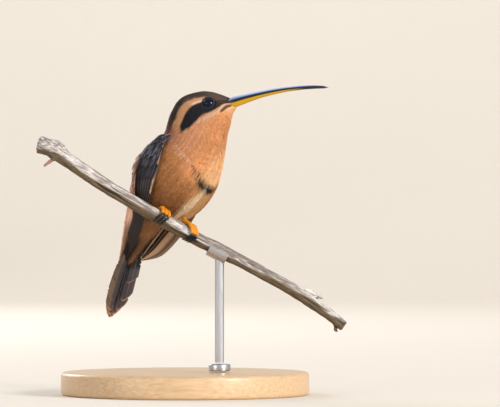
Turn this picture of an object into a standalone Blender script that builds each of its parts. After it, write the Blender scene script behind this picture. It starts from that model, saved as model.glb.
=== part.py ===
"""Male reddish hermit hummingbird, life size, perched on a cut length of dry branch on a plain stand.

Metres, +Z up. The origin is the middle of the stand base's underside. The branch runs along X and
slopes down towards +X; the bird faces +X and -Y with its tail behind the branch, and its bill along +X.
Run it with: blender --background --python part.py
"""

import math

import bmesh
import bpy
import numpy as np
from mathutils import Matrix, Vector

MM = 0.001
GAP = 0.3 * MM
FINE_GAP = 0.16 * MM

# ---------------------------------------------------------------- driving dimensions

BASE_RADIUS = 27.0 * MM
BASE_HEIGHT = 5.0 * MM
BASE_EDGE_ROUNDING = 0.8 * MM
ROD_RADIUS = 1.0 * MM
ROD_X = 7.5 * MM
FERRULE_RADIUS = 2.4 * MM
FERRULE_HEIGHT = 1.6 * MM
CRADLE_LENGTH = 4.4 * MM
CRADLE_WALL = 0.6 * MM

# The branch, upper end first: x, y, z of its middle and its radius, in millimetres.
BRANCH = (
    (-31.6, -3.5, 54.3, 1.85),
    (-29.6, -3.8, 53.8, 1.95),
    (-27.9, -4.0, 53.1, 2.2),
    (-26.6, -4.2, 51.9, 1.75),
    (-25.0, -4.4, 50.7, 1.58),
    (-15.3, -4.9, 44.3, 1.60),
    (-1.1, -4.7, 36.0, 1.48),
    (8.0, -4.3, 31.3, 1.44),
    (16.3, -4.0, 26.9, 1.38),
    (23.9, -3.9, 22.6, 1.38),
    (29.8, -4.1, 18.6, 1.22),
    (34.4, -4.3, 15.1, 1.14),
)
# Broken leaf stalks, a bud scar and a thorn on it: start, end and radii, in millimetres.
BRANCH_STUBS = (
    ((-27.9, -5.1, 51.6), (-30.4, -6.1, 49.7), 0.55, 0.30),
    ((-27.2, -4.9, 52.4), (-27.6, -6.0, 54.3), 0.75, 0.50),
    ((25.9, -4.0, 22.8), (28.2, -4.0, 21.6), 0.80, 0.95),
    ((28.2, -3.9, 21.4), (30.0, -3.8, 21.2), 0.48, 0.32),
    ((32.5, -4.2, 15.7), (32.7, -4.2, 13.9), 0.38, 0.30),
)

# The body from the bill's root to the tail's root. Each station is an ellipse across the body.
# Columns: name, x, y, z of its middle; heading, the way the bird faces, in degrees from +X towards -Y;
# dip, how far the belly end of the ellipse points below the level; half depth; half width.
BODY = (
    ("bill_root", 9.95, -1.1, 63.25, 6, 60, 1.8, 1.5),
    ("lores", 9.0, -1.05, 63.15, 6, 57, 2.65, 2.7),
    ("forecrown", 7.85, -0.95, 62.85, 6, 53, 3.85, 4.05),
    ("crown", 6.4, -0.8, 62.25, 7, 46, 5.1, 4.9),
    ("hind_crown", 4.4, -0.6, 60.1, 9, 38, 6.25, 5.35),
    ("nape", 3.0, -0.4, 56.9, 15, 31, 6.95, 5.8),
    ("neck_root", 1.9, 0.05, 53.7, 24, 27, 7.4, 6.8),
    ("shoulder", 0.3, 1.05, 50.9, 33, 27, 8.4, 7.9),
    ("breast", -1.7, 2.75, 47.3, 41, 28, 9.15, 8.5),
    ("midriff", -3.9, 5.0, 43.8, 45, 29, 8.7, 8.2),
    ("belly", -5.8, 7.3, 40.7, 47, 29, 7.3, 7.1),
    ("vent", -8.5, 10.55, 38.25, 48, 30, 4.65, 5.05),
    ("coverts", -10.5, 13.0, 35.1, 48, 31, 3.3, 3.7),
    ("tail_root", -12.0, 14.8, 31.2, 48, 31, 1.9, 3.0),
)
# Where the body is parted, in stations counted from the bill's root.
BODY_PIECES = (
    ("head", 0.0, 4.55),
    ("neck", 4.55, 6.0),
    ("breast", 6.0, 8.55),
    ("belly", 8.55, 10.9),
    ("tail_coverts", 10.9, 13.0),
)
RINGS_PER_STATION = 3
BODY_SIDES = 24

EYE_RADIUS = 1.35 * MM
EYE_STATION = 2.95
EYE_ANGLE = 74
EYE_DEPTH = 0.72 * MM

# The line where the mandibles meet, from the gape to the tip: control points (x, z), in millimetres.
BILL_LINE = ((9.0, 63.0), (15.5, 65.15), (23.5, 67.15), (31.1, 66.7))
BILL_Y = -1.0
BILL_HEADING = 6
# Along that line: how far, then the heights of the upper and the lower mandible and their half width.
BILL_SIZES = (
    (0.0, 1.50, 1.15, 1.15),
    (0.1, 1.22, 1.10, 0.98),
    (0.22, 1.00, 0.88, 0.82),
    (0.35, 0.84, 0.62, 0.68),
    (0.6, 0.64, 0.40, 0.52),
    (0.85, 0.42, 0.24, 0.35),
    (1.0, 0.12, 0.09, 0.12),
)

# Folded wings: points of the outer face along the leading and the trailing edge, from the wrist to
# the tip, in millimetres. The left one lies on the side away from -Y.
WINGS = {
    "right": (
        ((-4.0, -4.3, 55.7), (-4.9, -3.1, 55.6)),
        ((-4.9, -5.3, 53.3), (-7.4, -2.2, 53.8)),
        ((-5.8, -5.6, 50.3), (-9.6, -1.0, 50.2)),
        ((-6.5, -5.3, 47.6), (-10.3, -1.4, 47.3)),
        ((-7.2, -4.6, 45.0), (-10.5, -1.6, 44.6)),
        ((-7.9, -3.0, 42.2), (-10.7, -0.4, 41.8)),
        ((-8.8, -0.6, 38.7), (-11.2, 1.6, 38.5)),
        ((-9.7, 3.6, 34.6), (-11.7, 5.0, 34.4)),
        ((-12.2, 9.2, 30.1), (-12.6, 9.3, 29.9)),
    ),
    "left": (
        ((0.9, 7.2, 56.0), (-0.6, 6.9, 56.1)),
        ((3.0, 8.9, 53.3), (0.2, 9.6, 53.8)),
        ((4.6, 9.4, 50.3), (0.8, 11.8, 50.4)),
        ((5.2, 9.5, 47.6), (1.6, 12.2, 48.0)),
        ((5.1, 9.5, 45.0), (1.6, 12.6, 46.0)),
        ((4.0, 9.6, 42.2), (0.6, 13.1, 43.8)),
        ((2.0, 10.3, 37.9), (-2.0, 13.9, 40.4)),
        ((-0.9, 11.6, 33.7), (-5.8, 15.0, 36.6)),
        ((-4.4, 13.0, 30.3), (-8.2, 15.4, 32.4)),
        ((-8.8, 14.4, 29.2), (-9.2, 14.7, 29.8)),
    ),
}
WING_SIDES = {"right": -1, "left": 1}
WING_THICKNESS = 0.6
WING_ROOT_THICKNESS = 1.5
WING_CAMBER = 0.7
COVERTS_END = 0.36
COVERTS_THICKNESS = 0.7

# Tail feathers as three blades: the long middle pair above, the shorter outer ones under it.
TAIL_ROOT = (-11.9, 14.6, 30.6)
TAIL_TIP = (-16.3, 20.4, 17.0)
TAIL_HEADING = 48
TAIL_MIDDLE = {"length": 1.0, "half_width": 2.3, "splay": 0.0, "shift": 0.0, "lift": 0.45}
TAIL_SIDE = {"length": 0.82, "half_width": 1.6, "splay": 0.6, "shift": 1.7, "lift": -0.40}
TAIL_THICKNESS = 0.5

# Feet: where the toes cross the top of the branch (x), how far apart they lie, how far they go towards
# +X as they bend over it, and the angle round the branch where the claws take over. Angles run from the
# top of the branch over its -Y side, and the toes part at the heel's angle.
FEET = {
    "right": {"grip": -5.9, "spacing": 0.70, "travel": 1.2, "end": 50, "claw_travel": -0.9, "claw_sweep": 84},
    "left": {"grip": -0.4, "spacing": 0.54, "travel": 2.3, "end": 74, "claw_travel": -1.3, "claw_sweep": 70},
}
HIND_TOE = {"travel": -0.8, "end": -96, "claw_travel": -0.3, "claw_sweep": 54}
HEEL_ANGLE = -44
TOE_RADIUS = 0.38
TARSUS_RADIUS = 0.45
PALM_RADIUS = 0.62
CLAW_RADIUS = 0.30
HIPS = {"right": (-6.0, 3.0, 42.5), "left": (-1.4, 6.2, 41.5)}

# Finishes: colour (linear RGB), roughness and metallic value.
FINISHES = {
    "plumage_cinnamon": ((0.52, 0.21, 0.07), 0.75, 0.0),
    "plumage_dark": ((0.055, 0.045, 0.05), 0.6, 0.0),
    "tail_dark": ((0.07, 0.06, 0.06), 0.55, 0.0),
    "bill_black": ((0.02, 0.02, 0.025), 0.3, 0.0),
    "bill_yellow": ((0.75, 0.48, 0.02), 0.35, 0.0),
    "eye_black": ((0.01, 0.01, 0.012), 0.08, 0.0),
    "foot_orange": ((0.85, 0.36, 0.02), 0.5, 0.0),
    "claw_black": ((0.02, 0.018, 0.016), 0.35, 0.0),
    "dry_wood": ((0.33, 0.27, 0.22), 0.85, 0.0),
    "stand_wood": ((0.55, 0.42, 0.30), 0.5, 0.0),
    "stand_steel": ((0.62, 0.62, 0.64), 0.3, 1.0),
}


# ---------------------------------------------------------------- scene and mesh helpers


def clear_scene():
    for obj in list(bpy.data.objects):
        bpy.data.objects.remove(obj)


def new_collection(name, hidden=False):
    collection = bpy.data.collections.new(name)
    bpy.context.scene.collection.children.link(collection)
    collection.hide_render = hidden
    return collection


def make_material(name, finish):
    colour, roughness, metallic = FINISHES[finish]
    material = bpy.data.materials.new(name)
    material.use_nodes = True
    shader = material.node_tree.nodes["Principled BSDF"]
    shader.inputs["Base Color"].default_value = (*colour, 1.0)
    shader.inputs["Roughness"].default_value = roughness
    shader.inputs["Metallic"].default_value = metallic
    return material


def add_object(name, mesh, collection, finish=None):
    """An object of this mesh; a part of the model has a finish, and so a material of its own."""
    obj = bpy.data.objects.new(name, mesh)
    collection.objects.link(obj)
    if finish:
        mesh.materials.clear()
        mesh.materials.append(make_material(name, finish))
    mesh.shade_smooth()
    mesh.set_sharp_from_angle(angle=math.radians(50))
    return obj


def as_helper(obj):
    obj.hide_render = True
    obj.display_type = "WIRE"
    return obj


def loft(rings):
    """A closed mesh through rings of points, each with the same number of points, capped at both ends."""
    mesh_maker = bmesh.new()
    loops = [[mesh_maker.verts.new(point) for point in ring] for ring in rings]
    count = len(loops[0])
    for ring, following in zip(loops, loops[1:]):
        for i in range(count):
            j = (i + 1) % count
            mesh_maker.faces.new((ring[i], ring[j], following[j], following[i]))
    mesh_maker.faces.new(loops[0])
    mesh_maker.faces.new(loops[-1])
    bmesh.ops.recalc_face_normals(mesh_maker, faces=mesh_maker.faces)
    mesh = bpy.data.meshes.new("loft")
    mesh_maker.to_mesh(mesh)
    mesh_maker.free()
    return mesh


def tube(points, radii, sides_resolution=2):
    """A closed mesh of a round tube along the points, in metres, with its own radius at each point."""
    curve = bpy.data.curves.new("route", "CURVE")
    curve.dimensions = "3D"
    curve.bevel_depth = 1.0
    curve.bevel_resolution = sides_resolution
    curve.use_fill_caps = True
    spline = curve.splines.new("POLY")
    spline.points.add(len(points) - 1)
    for knot, point, radius in zip(spline.points, points, radii):
        knot.co = (*point, 1.0)
        knot.radius = radius
    guide = bpy.data.objects.new("route", curve)
    bpy.context.scene.collection.objects.link(guide)
    evaluated = guide.evaluated_get(bpy.context.evaluated_depsgraph_get())
    mesh = bpy.data.meshes.new_from_object(evaluated)
    bpy.data.objects.remove(guide)
    welder = bmesh.new()
    welder.from_mesh(mesh)
    bmesh.ops.remove_doubles(welder, verts=welder.verts, dist=0.001 * MM)
    bmesh.ops.recalc_face_normals(welder, faces=welder.faces)
    welder.to_mesh(mesh)
    welder.free()
    return mesh


def boolean(obj, cutter, operation):
    modifier = obj.modifiers.new(f"{operation.lower()}_{cutter.name}", "BOOLEAN")
    modifier.operation = operation
    modifier.object = cutter
    modifier.use_self = operation == "UNION"
    return modifier


def smooth_row(rows, t):
    """The row of numbers at t, counted in rows, on a smooth curve through all of them."""
    rows = np.asarray(rows, float)
    last = len(rows) - 1
    i = min(int(t), last - 1)
    s = t - i
    before, here = rows[max(i - 1, 0)], rows[i]
    there, after = rows[i + 1], rows[min(i + 2, last)]
    slope_here = (there - before) / (2 if i else 1)
    slope_there = (after - here) / (2 if i + 2 <= last else 1)
    return (
        (2 * s**3 - 3 * s**2 + 1) * here
        + (s**3 - 2 * s**2 + s) * slope_here
        + (3 * s**2 - 2 * s**3) * there
        + (s**3 - s**2) * slope_there
    )


def bezier(controls, t):
    """The point at t, from 0 to 1, of the cubic curve with these four control points."""
    a, b, c, d = (np.asarray(point, float) for point in controls)
    return (1 - t) ** 3 * a + 3 * t * (1 - t) ** 2 * b + 3 * t**2 * (1 - t) * c + t**3 * d


def unit(vector):
    return vector / np.linalg.norm(vector)


def headed(degrees):
    """Forward and rightward unit vectors of a bird that faces this way."""
    angle = math.radians(degrees)
    forward = np.array((math.cos(angle), -math.sin(angle), 0.0))
    rightward = np.array((-math.sin(angle), -math.cos(angle), 0.0))
    return forward, rightward


# ---------------------------------------------------------------- body


def body_frame(station):
    """Middle of the body at a station, and its ellipse's dorsal and rightward radii, in millimetres."""
    x, y, z, heading, dip, half_depth, half_width = smooth_row([row[1:] for row in BODY], station)
    forward, rightward = headed(heading)
    lean = math.radians(dip)
    dorsal = -math.cos(lean) * forward + math.sin(lean) * np.array((0.0, 0.0, 1.0))
    return np.array((x, y, z)), dorsal * half_depth, rightward * half_width


def body_point(station, angle, swell=0.0):
    """A point of the body's surface: angle 0 on the back, 90 on the bird's right, 180 on the belly."""
    middle, dorsal, rightward = body_frame(station)
    turn = math.radians(angle)
    grown = [v * (1 + swell / MM / np.linalg.norm(v)) for v in (dorsal, rightward)]
    return middle + grown[0] * math.cos(turn) + grown[1] * math.sin(turn)


def body_loft(start, end, swell=0.0):
    count = max(2, round((end - start) * RINGS_PER_STATION) + 1)
    rings = []
    for station in np.linspace(start, end, count):
        angles = np.arange(BODY_SIDES) * 360 / BODY_SIDES
        rings.append([Vector(body_point(station, angle, swell)) * MM for angle in angles])
    return loft(rings)


def station_step(station, distance):
    """How many stations the given distance along the body is, at its narrower, belly side."""
    ends = [body_point(station + side, 180) for side in (-0.1, 0.1)]
    return 0.2 * distance / (np.linalg.norm(ends[1] - ends[0]) * MM)


def make_body(parts, helpers):
    last = BODY_PIECES[-1][0]
    for name, start, end in BODY_PIECES:
        trim = 0 if name == last else station_step(end, GAP)
        piece = add_object(name, body_loft(start, end - trim), parts, "plumage_cinnamon")
        if name == "head":
            for socket in make_eyes(parts, helpers) + bill_sockets(helpers):
                boolean(piece, socket, "DIFFERENCE")


def eye_centre(side):
    """Middle of the eyeball of the bird's right (1) or left (-1) eye, in metres, and the way it looks out."""
    middle, _, _ = body_frame(EYE_STATION)
    surface = body_point(EYE_STATION, side * EYE_ANGLE)
    outward = unit(surface - middle)
    return Vector(surface) * MM - Vector(outward) * EYE_DEPTH


def make_sphere(radius, rings=8):
    mesh_maker = bmesh.new()
    bmesh.ops.create_uvsphere(mesh_maker, u_segments=2 * rings, v_segments=rings, radius=radius)
    mesh = bpy.data.meshes.new("sphere")
    mesh_maker.to_mesh(mesh)
    mesh_maker.free()
    return mesh


def make_eyes(parts, helpers):
    sockets = []
    for name, side in (("right", 1), ("left", -1)):
        centre = eye_centre(side)
        eye = add_object(f"eye_{name}", make_sphere(EYE_RADIUS), parts, "eye_black")
        eye.location = centre
        socket = add_object(f"socket_{name}", make_sphere(EYE_RADIUS + FINE_GAP), helpers)
        socket.location = centre
        sockets.append(as_helper(socket))
    return sockets


# ---------------------------------------------------------------- bill


def bill_point(t):
    """A point on the line where the mandibles meet, and the way the bill runs there, in millimetres."""
    places = [bezier(BILL_LINE, min(max(s, 0), 1)) for s in (t - 0.01, t, t + 0.01)]
    x, z = places[1]
    reach = x - BILL_LINE[0][0]
    slope = math.tan(math.radians(BILL_HEADING))
    along = places[2] - places[0]
    ahead = unit(np.array((along[0], -along[0] * slope, along[1])))
    return np.array((x, BILL_Y - reach * slope, z)), ahead


def mandible_rings(column, upward, end, floor, grow=0.0):
    """Half-round rings that taper to the tip, their flat side this far from the meeting line."""
    _, rightward = headed(BILL_HEADING)
    table = np.array(BILL_SIZES)
    rings = []
    for t in np.linspace(0, end, 15):
        place, ahead = bill_point(t)
        up = unit(np.cross(rightward, ahead)) * upward
        height = np.interp(t, table[:, 0], table[:, column]) + grow
        half_width = np.interp(t, table[:, 0], table[:, 3]) + grow
        ring = []
        for turn in np.linspace(0, math.pi, 7):
            side = rightward * half_width * math.cos(turn)
            ring.append(Vector(place + side + up * (floor + height * math.sin(turn))) * MM)
        rings.append(ring)
    return rings


def make_bill(parts):
    slit = FINE_GAP / MM / 2
    add_object("bill_upper", loft(mandible_rings(1, 1, 1.0, slit)), parts, "bill_black")
    add_object("bill_lower", loft(mandible_rings(2, -1, 0.985, slit)), parts, "bill_yellow")


def bill_sockets(helpers):
    """Room in the head for the root of each mandible, a fine gap wider than it is."""
    sockets = []
    for name, column, upward in (("upper", 1, 1), ("lower", 2, -1)):
        rings = mandible_rings(column, upward, 0.3, -0.1, FINE_GAP / MM + 0.1)
        rings[0] = [point - Vector((0.4 * MM, 0, 0.15 * MM)) for point in rings[0]]
        sockets.append(as_helper(add_object(f"bill_socket_{name}", loft(rings), helpers)))
    return sockets


# ---------------------------------------------------------------- wings and tail


def sheet_rings(place, outward_of, thickness, lengthwise, crosswise):
    """Rings round a thin curved sheet: place(u, v) is its inner face, and it is thickness(u) deep."""
    rings = []
    for u in lengthwise:
        outward = outward_of(u)
        inner = [place(u, v) for v in crosswise]
        outer = [point + outward * thickness(u) for point in reversed(inner)]
        rings.append([Vector(point) * MM for point in inner + outer])
    return rings


def wing_surface(edges, side):
    """A wing's outer face and its way out: u runs from wrist to tip, v from leading to trailing edge."""
    rows = np.array([lead + trail for lead, trail in edges])
    last = len(rows) - 1

    def outward_of(u):
        row = smooth_row(rows, u * last)
        ahead = smooth_row(rows, min(u + 0.02, 1) * last) - smooth_row(rows, max(u - 0.02, 0) * last)
        return unit(np.cross(ahead[:3] + ahead[3:], row[3:] - row[:3])) * side

    def place(u, v):
        row = smooth_row(rows, u * last)
        bulge = WING_CAMBER * 4 * v * (1 - v) * (1 - u) ** 0.5
        return row[:3] * (1 - v) + row[3:] * v + outward_of(u) * bulge

    return place, outward_of


def primaries_depth(u):
    """How deep the sheet of flight feathers is: thicker at the wrist, where it lies in the flank."""
    return WING_THICKNESS + (WING_ROOT_THICKNESS - WING_THICKNESS) * max(0.0, 1 - 1.6 * u)


def make_wing(name, parts, body_cutter):
    """Flight feathers as one thin curved sheet, and the wing coverts as a second one over its root."""
    place, outward_of = wing_surface(WINGS[name], WING_SIDES[name])

    def under(u, v):
        return place(u, v) - outward_of(u) * primaries_depth(u)

    def over(u, v):
        return place(u, v) + outward_of(u) * GAP / MM

    across = np.linspace(0, 1, 7)
    flight = sheet_rings(under, outward_of, primaries_depth, np.linspace(0.03, 1, 17), across)
    cover = sheet_rings(over, outward_of, lambda u: COVERTS_THICKNESS, np.linspace(0, COVERTS_END, 8), across)
    for kind, rings in (("primaries", flight), ("coverts", cover)):
        piece = add_object(f"wing_{kind}_{name}", loft(rings), parts, "plumage_dark")
        boolean(piece, body_cutter, "DIFFERENCE")


def make_wings(parts, helpers):
    body_cutter = as_helper(add_object("body_clearance", body_loft(0, 13, GAP), helpers))
    for name in WINGS:
        make_wing(name, parts, body_cutter)


def make_tail(parts):
    root, tip = np.array(TAIL_ROOT), np.array(TAIL_TIP)
    _, rightward = headed(TAIL_HEADING)
    ahead = unit(tip - root)
    dorsal = unit(np.cross(ahead, rightward))
    blades = (("tail_middle", TAIL_MIDDLE, 0), ("tail_right", TAIL_SIDE, 1), ("tail_left", TAIL_SIDE, -1))
    for name, blade, side in blades:
        splay = math.radians(blade["splay"]) * side
        way = ahead * math.cos(splay) + rightward * math.sin(splay)
        across = rightward * math.cos(splay) - ahead * math.sin(splay)
        length = np.linalg.norm(tip - root) * blade["length"]
        start = root + rightward * blade["shift"] * side + dorsal * blade["lift"]

        def place(u, v, blade=blade, start=start, way=way, across=across, length=length):
            swell = 0.8 + 0.2 * math.sin(math.pi * min(1, u / 1.3))
            rounding = math.sqrt(max(0.0, 1 - max(0.0, (u - 0.72) / 0.28) ** 2)) * 0.94 + 0.06
            return start + way * length * u + across * (2 * v - 1) * blade["half_width"] * swell * rounding

        rings = sheet_rings(
            place, lambda u: dorsal, lambda u: TAIL_THICKNESS, np.linspace(0, 1, 13), np.linspace(0, 1, 5)
        )
        add_object(name, loft(rings), parts, "tail_dark")


# ---------------------------------------------------------------- feet


def branch_at(x):
    """Middle, direction and radius of the branch where its middle has this x, in millimetres."""
    table = np.array(BRANCH)
    here = [np.interp(x, table[:, 0], table[:, column]) for column in range(1, 4)]
    ahead = [np.interp(x + 1, table[:, 0], table[:, column]) for column in range(1, 3)]
    direction = unit(np.array((1.0, ahead[0] - here[0], ahead[1] - here[1])))
    return np.array((x, here[0], here[1])), direction, here[2]


def round_branch(x, angle, clearance):
    """A point beside the branch: angle 0 on top of it, 90 on its -Y side, 180 under it."""
    middle, direction, radius = branch_at(x)
    frontward = unit(np.array((0.0, -1.0, 0.0)) - direction * -direction[1])
    upward = unit(np.cross(direction, frontward))
    upward *= math.copysign(1, upward[2])
    turn = math.radians(angle)
    return middle + (upward * math.cos(turn) + frontward * math.sin(turn)) * (radius + clearance)


def toe_route(x, offset, toe, count=10):
    """Points of a toe from the heel round the branch, its underside a fine gap from the bark."""
    clearance = TOE_RADIUS + FINE_GAP / MM
    return [
        round_branch(
            x + toe["travel"] * s + offset * math.sin(math.pi / 2 * min(1, 2.2 * s)),
            HEEL_ANGLE + (toe["end"] - HEEL_ANGLE) * s,
            clearance + 0.15 * (1 - s) ** 2,
        )
        for s in np.linspace(0, 1, count)
    ]


def claw_route(x, toe, count=6):
    """Points of the claw that goes on from that toe, bending in towards the bark."""
    way = math.copysign(1, toe["end"])
    start = toe["end"] + way * 12
    sag = TOE_RADIUS * 0.7
    return [
        round_branch(
            x + toe["travel"] + toe["claw_travel"] * s,
            start + way * toe["claw_sweep"] * s,
            FINE_GAP / MM + TOE_RADIUS + sag * math.sin(math.pi * s) - 0.12 * s,
        )
        for s in np.linspace(0, 1, count)
    ]


def make_foot(name, sizes, parts, helpers, belly):
    """Tarsus and four toes as one piece, and a claw for each toe."""
    grip_x, spacing = sizes["grip"], sizes["spacing"]
    toes = [(spacing * (i - 1), sizes) for i in range(3)] + [(0.0, HIND_TOE)]
    hip = np.array(HIPS[name])
    heel = round_branch(grip_x, HEEL_ANGLE, TOE_RADIUS + 0.35)
    knee = (hip + heel) / 2 + np.array((-0.3, 0.7, 0.2))
    shank = [(1 - s) ** 2 * heel + 2 * s * (1 - s) * knee + s**2 * hip for s in np.linspace(0, 1, 8)]
    radii = [TARSUS_RADIUS * (1.35 - 0.35 * min(1, 3 * s)) * MM for s in np.linspace(0, 1, 8)]
    leg = tube([Vector(point) * MM for point in shank], radii)
    foot = add_object(f"foot_{name}", leg, parts, "foot_orange")
    palm = as_helper(add_object(f"palm_{name}", make_sphere(PALM_RADIUS * MM, 6), helpers))
    palm.location = Vector(round_branch(grip_x + 0.1, HEEL_ANGLE + 12, PALM_RADIUS + FINE_GAP / MM)) * MM
    boolean(foot, palm, "UNION")
    for number, (offset, toe) in enumerate(toes, 1):
        route = [Vector(point) * MM for point in toe_route(grip_x, offset, toe)]
        taper = [TOE_RADIUS * MM * (1.05 - 0.15 * s) for s in np.linspace(0, 1, len(route))]
        digit = as_helper(add_object(f"digit_{name}_{number}", tube(route, taper), helpers))
        boolean(foot, digit, "UNION")
        hook = [Vector(point) * MM for point in claw_route(grip_x + offset, toe)]
        narrow = [CLAW_RADIUS * MM * (1 - 0.82 * s**1.4) for s in np.linspace(0, 1, len(hook))]
        add_object(f"claw_{name}_{number}", tube(hook, narrow), parts, "claw_black")
    boolean(foot, belly, "DIFFERENCE")


def make_feet(parts, helpers):
    belly = as_helper(add_object("belly_clearance", body_loft(7, 12, FINE_GAP), helpers))
    for name, sizes in FEET.items():
        make_foot(name, sizes, parts, helpers, belly)


# ---------------------------------------------------------------- branch and stand


def branch_tube(swell=0.0, steps_per_row=4):
    last = len(BRANCH) - 1
    rows = [smooth_row(BRANCH, t) for t in np.linspace(0, last, last * steps_per_row + 1)]
    return tube([Vector(row[:3]) * MM for row in rows], [row[3] * MM + swell for row in rows], 3)


def make_branch(parts, helpers):
    branch = add_object("perch_branch", branch_tube(steps_per_row=3), parts, "dry_wood")
    for number, (start, end, thick, thin) in enumerate(BRANCH_STUBS, 1):
        points = [Vector(start).lerp(Vector(end), s) * MM for s in (0.0, 0.55, 1.0)]
        radii = [thick * MM, (0.6 * thick + 0.4 * thin) * MM, thin * MM]
        stub = as_helper(add_object(f"stub_{number}", tube(points, radii, 1), helpers))
        boolean(branch, stub, "UNION")


def make_cylinder(radius, depth, segments=32):
    mesh_maker = bmesh.new()
    bmesh.ops.create_cone(
        mesh_maker, cap_ends=True, segments=segments, radius1=radius, radius2=radius, depth=depth
    )
    mesh = bpy.data.meshes.new("cylinder")
    mesh_maker.to_mesh(mesh)
    mesh_maker.free()
    return mesh


def make_box(size):
    mesh_maker = bmesh.new()
    bmesh.ops.create_cube(mesh_maker, size=1.0)
    bmesh.ops.scale(mesh_maker, vec=size, verts=mesh_maker.verts)
    mesh = bpy.data.meshes.new("box")
    mesh_maker.to_mesh(mesh)
    mesh_maker.free()
    return mesh


def make_base(parts):
    base = add_object("stand_base", make_cylinder(BASE_RADIUS, BASE_HEIGHT, 40), parts, "stand_wood")
    base.location = (0, 0, BASE_HEIGHT / 2)
    rounding = base.modifiers.new("rounded_edge", "BEVEL")
    rounding.width = BASE_EDGE_ROUNDING
    rounding.segments = 2
    rounding.limit_method = "ANGLE"


def make_rod(parts, helpers):
    """A rod that ends in a cradle: a length of sleeve round the branch, open at the top."""
    middle, direction, radius = branch_at(ROD_X / MM)
    rod_y = middle[1] * MM
    collar = make_cylinder(FERRULE_RADIUS, FERRULE_HEIGHT, 20)
    ferrule = add_object("stand_ferrule", collar, parts, "stand_steel")
    ferrule.location = (ROD_X, rod_y, BASE_HEIGHT + GAP + FERRULE_HEIGHT / 2)
    chamfer = ferrule.modifiers.new("chamfer", "BEVEL")
    chamfer.width = 0.3 * MM
    chamfer.segments = 1
    chamfer.limit_method = "ANGLE"

    foot = BASE_HEIGHT + FERRULE_HEIGHT + 2 * GAP
    top = middle[2] * MM
    rod = add_object("stand_rod", make_cylinder(ROD_RADIUS, top - foot, 16), parts, "stand_steel")
    rod.location = (ROD_X, rod_y, (top + foot) / 2)

    along_branch = Vector(direction).to_track_quat("Z", "Y").to_matrix().to_4x4()
    place = Matrix.Translation(Vector(middle) * MM) @ along_branch
    sleeve_radius = radius * MM + GAP + CRADLE_WALL
    sleeve = as_helper(add_object("cradle_sleeve", make_cylinder(sleeve_radius, CRADLE_LENGTH, 20), helpers))
    sleeve.matrix_world = place
    boolean(rod, sleeve, "UNION")
    room = as_helper(add_object("branch_clearance", branch_tube(GAP), helpers))
    boolean(rod, room, "DIFFERENCE")

    across = 4 * sleeve_radius
    lid = as_helper(add_object("cradle_opening", make_box((across, across, 2 * CRADLE_LENGTH)), helpers))
    upward = Vector((0, 0, 1)) - Vector(direction) * direction[2]
    lid.matrix_world = Matrix.Translation(upward.normalized() * across / 2) @ place
    boolean(rod, lid, "DIFFERENCE")


def main():
    clear_scene()
    parts = new_collection("hummingbird")
    helpers = new_collection("cutters", hidden=True)
    make_base(parts)
    make_rod(parts, helpers)
    make_branch(parts, helpers)
    make_body(parts, helpers)
    make_bill(parts)
    make_wings(parts, helpers)
    make_tail(parts)
    make_feet(parts, helpers)


main()
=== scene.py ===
"""Looks of the reddish hermit hummingbird on its stand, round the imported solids.

Metres, +Z up, in the part's own frame. Feathers are worked out in millimetres on the body's own
stations: a place on the body is (station, angle), and angle 0 is on the back, 90 on the bird's right
and 180 on the belly.
"""

import math

import bmesh
import bpy
import numpy as np
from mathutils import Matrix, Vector


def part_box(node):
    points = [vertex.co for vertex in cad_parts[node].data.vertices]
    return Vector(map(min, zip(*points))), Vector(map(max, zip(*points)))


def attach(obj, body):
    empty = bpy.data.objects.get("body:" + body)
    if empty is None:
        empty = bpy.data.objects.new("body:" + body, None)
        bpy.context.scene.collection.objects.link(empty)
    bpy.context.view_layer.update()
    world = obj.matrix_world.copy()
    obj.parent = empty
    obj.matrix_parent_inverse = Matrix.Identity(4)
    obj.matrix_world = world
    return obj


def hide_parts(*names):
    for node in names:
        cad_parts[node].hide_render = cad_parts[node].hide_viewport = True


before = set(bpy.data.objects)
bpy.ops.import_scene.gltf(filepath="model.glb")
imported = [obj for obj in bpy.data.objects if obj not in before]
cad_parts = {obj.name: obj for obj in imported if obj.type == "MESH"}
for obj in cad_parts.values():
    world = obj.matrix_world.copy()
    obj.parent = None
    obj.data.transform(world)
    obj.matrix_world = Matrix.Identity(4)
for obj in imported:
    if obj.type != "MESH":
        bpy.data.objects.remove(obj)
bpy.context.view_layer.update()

MM = 0.001
BODY_NAME = "root"

# Seeds of the random draws: each coat piece and each wing adds its own number.
COAT_SEED = 100
WING_SEED = 40
TAIL_SEED = 70

# ---------------------------------------------------------------- the shapes that the solids follow

# Stations of the body from the bill's root to the tail's root, as in the solids, in millimetres and
# degrees: x, y, z of the middle; heading; dip of the ellipse's belly end; half depth; half width.
BODY = (
    (9.95, -1.1, 63.25, 6, 60, 1.8, 1.5),
    (9.0, -1.05, 63.15, 6, 57, 2.65, 2.7),
    (7.85, -0.95, 62.85, 6, 53, 3.85, 4.05),
    (6.4, -0.8, 62.25, 7, 46, 5.1, 4.9),
    (4.1, -0.6, 60.35, 9, 38, 6.65, 5.35),
    (2.74, -0.38, 57.06, 15, 31, 7.25, 5.8),
    (1.9, 0.05, 53.7, 24, 27, 7.4, 6.8),
    (0.3, 1.05, 50.9, 33, 27, 8.4, 7.9),
    (-1.7, 2.75, 47.3, 41, 28, 9.15, 8.5),
    (-3.9, 5.0, 43.8, 45, 29, 8.7, 8.2),
    (-5.95, 7.46, 40.82, 47, 29, 7.05, 7.1),
    (-8.7, 10.75, 38.4, 48, 30, 4.3, 5.0),
    (-10.5, 13.0, 35.1, 48, 31, 3.3, 3.7),
    (-12.0, 14.8, 31.2, 48, 31, 1.9, 3.0),
)
LAST_STATION = len(BODY) - 1

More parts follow.
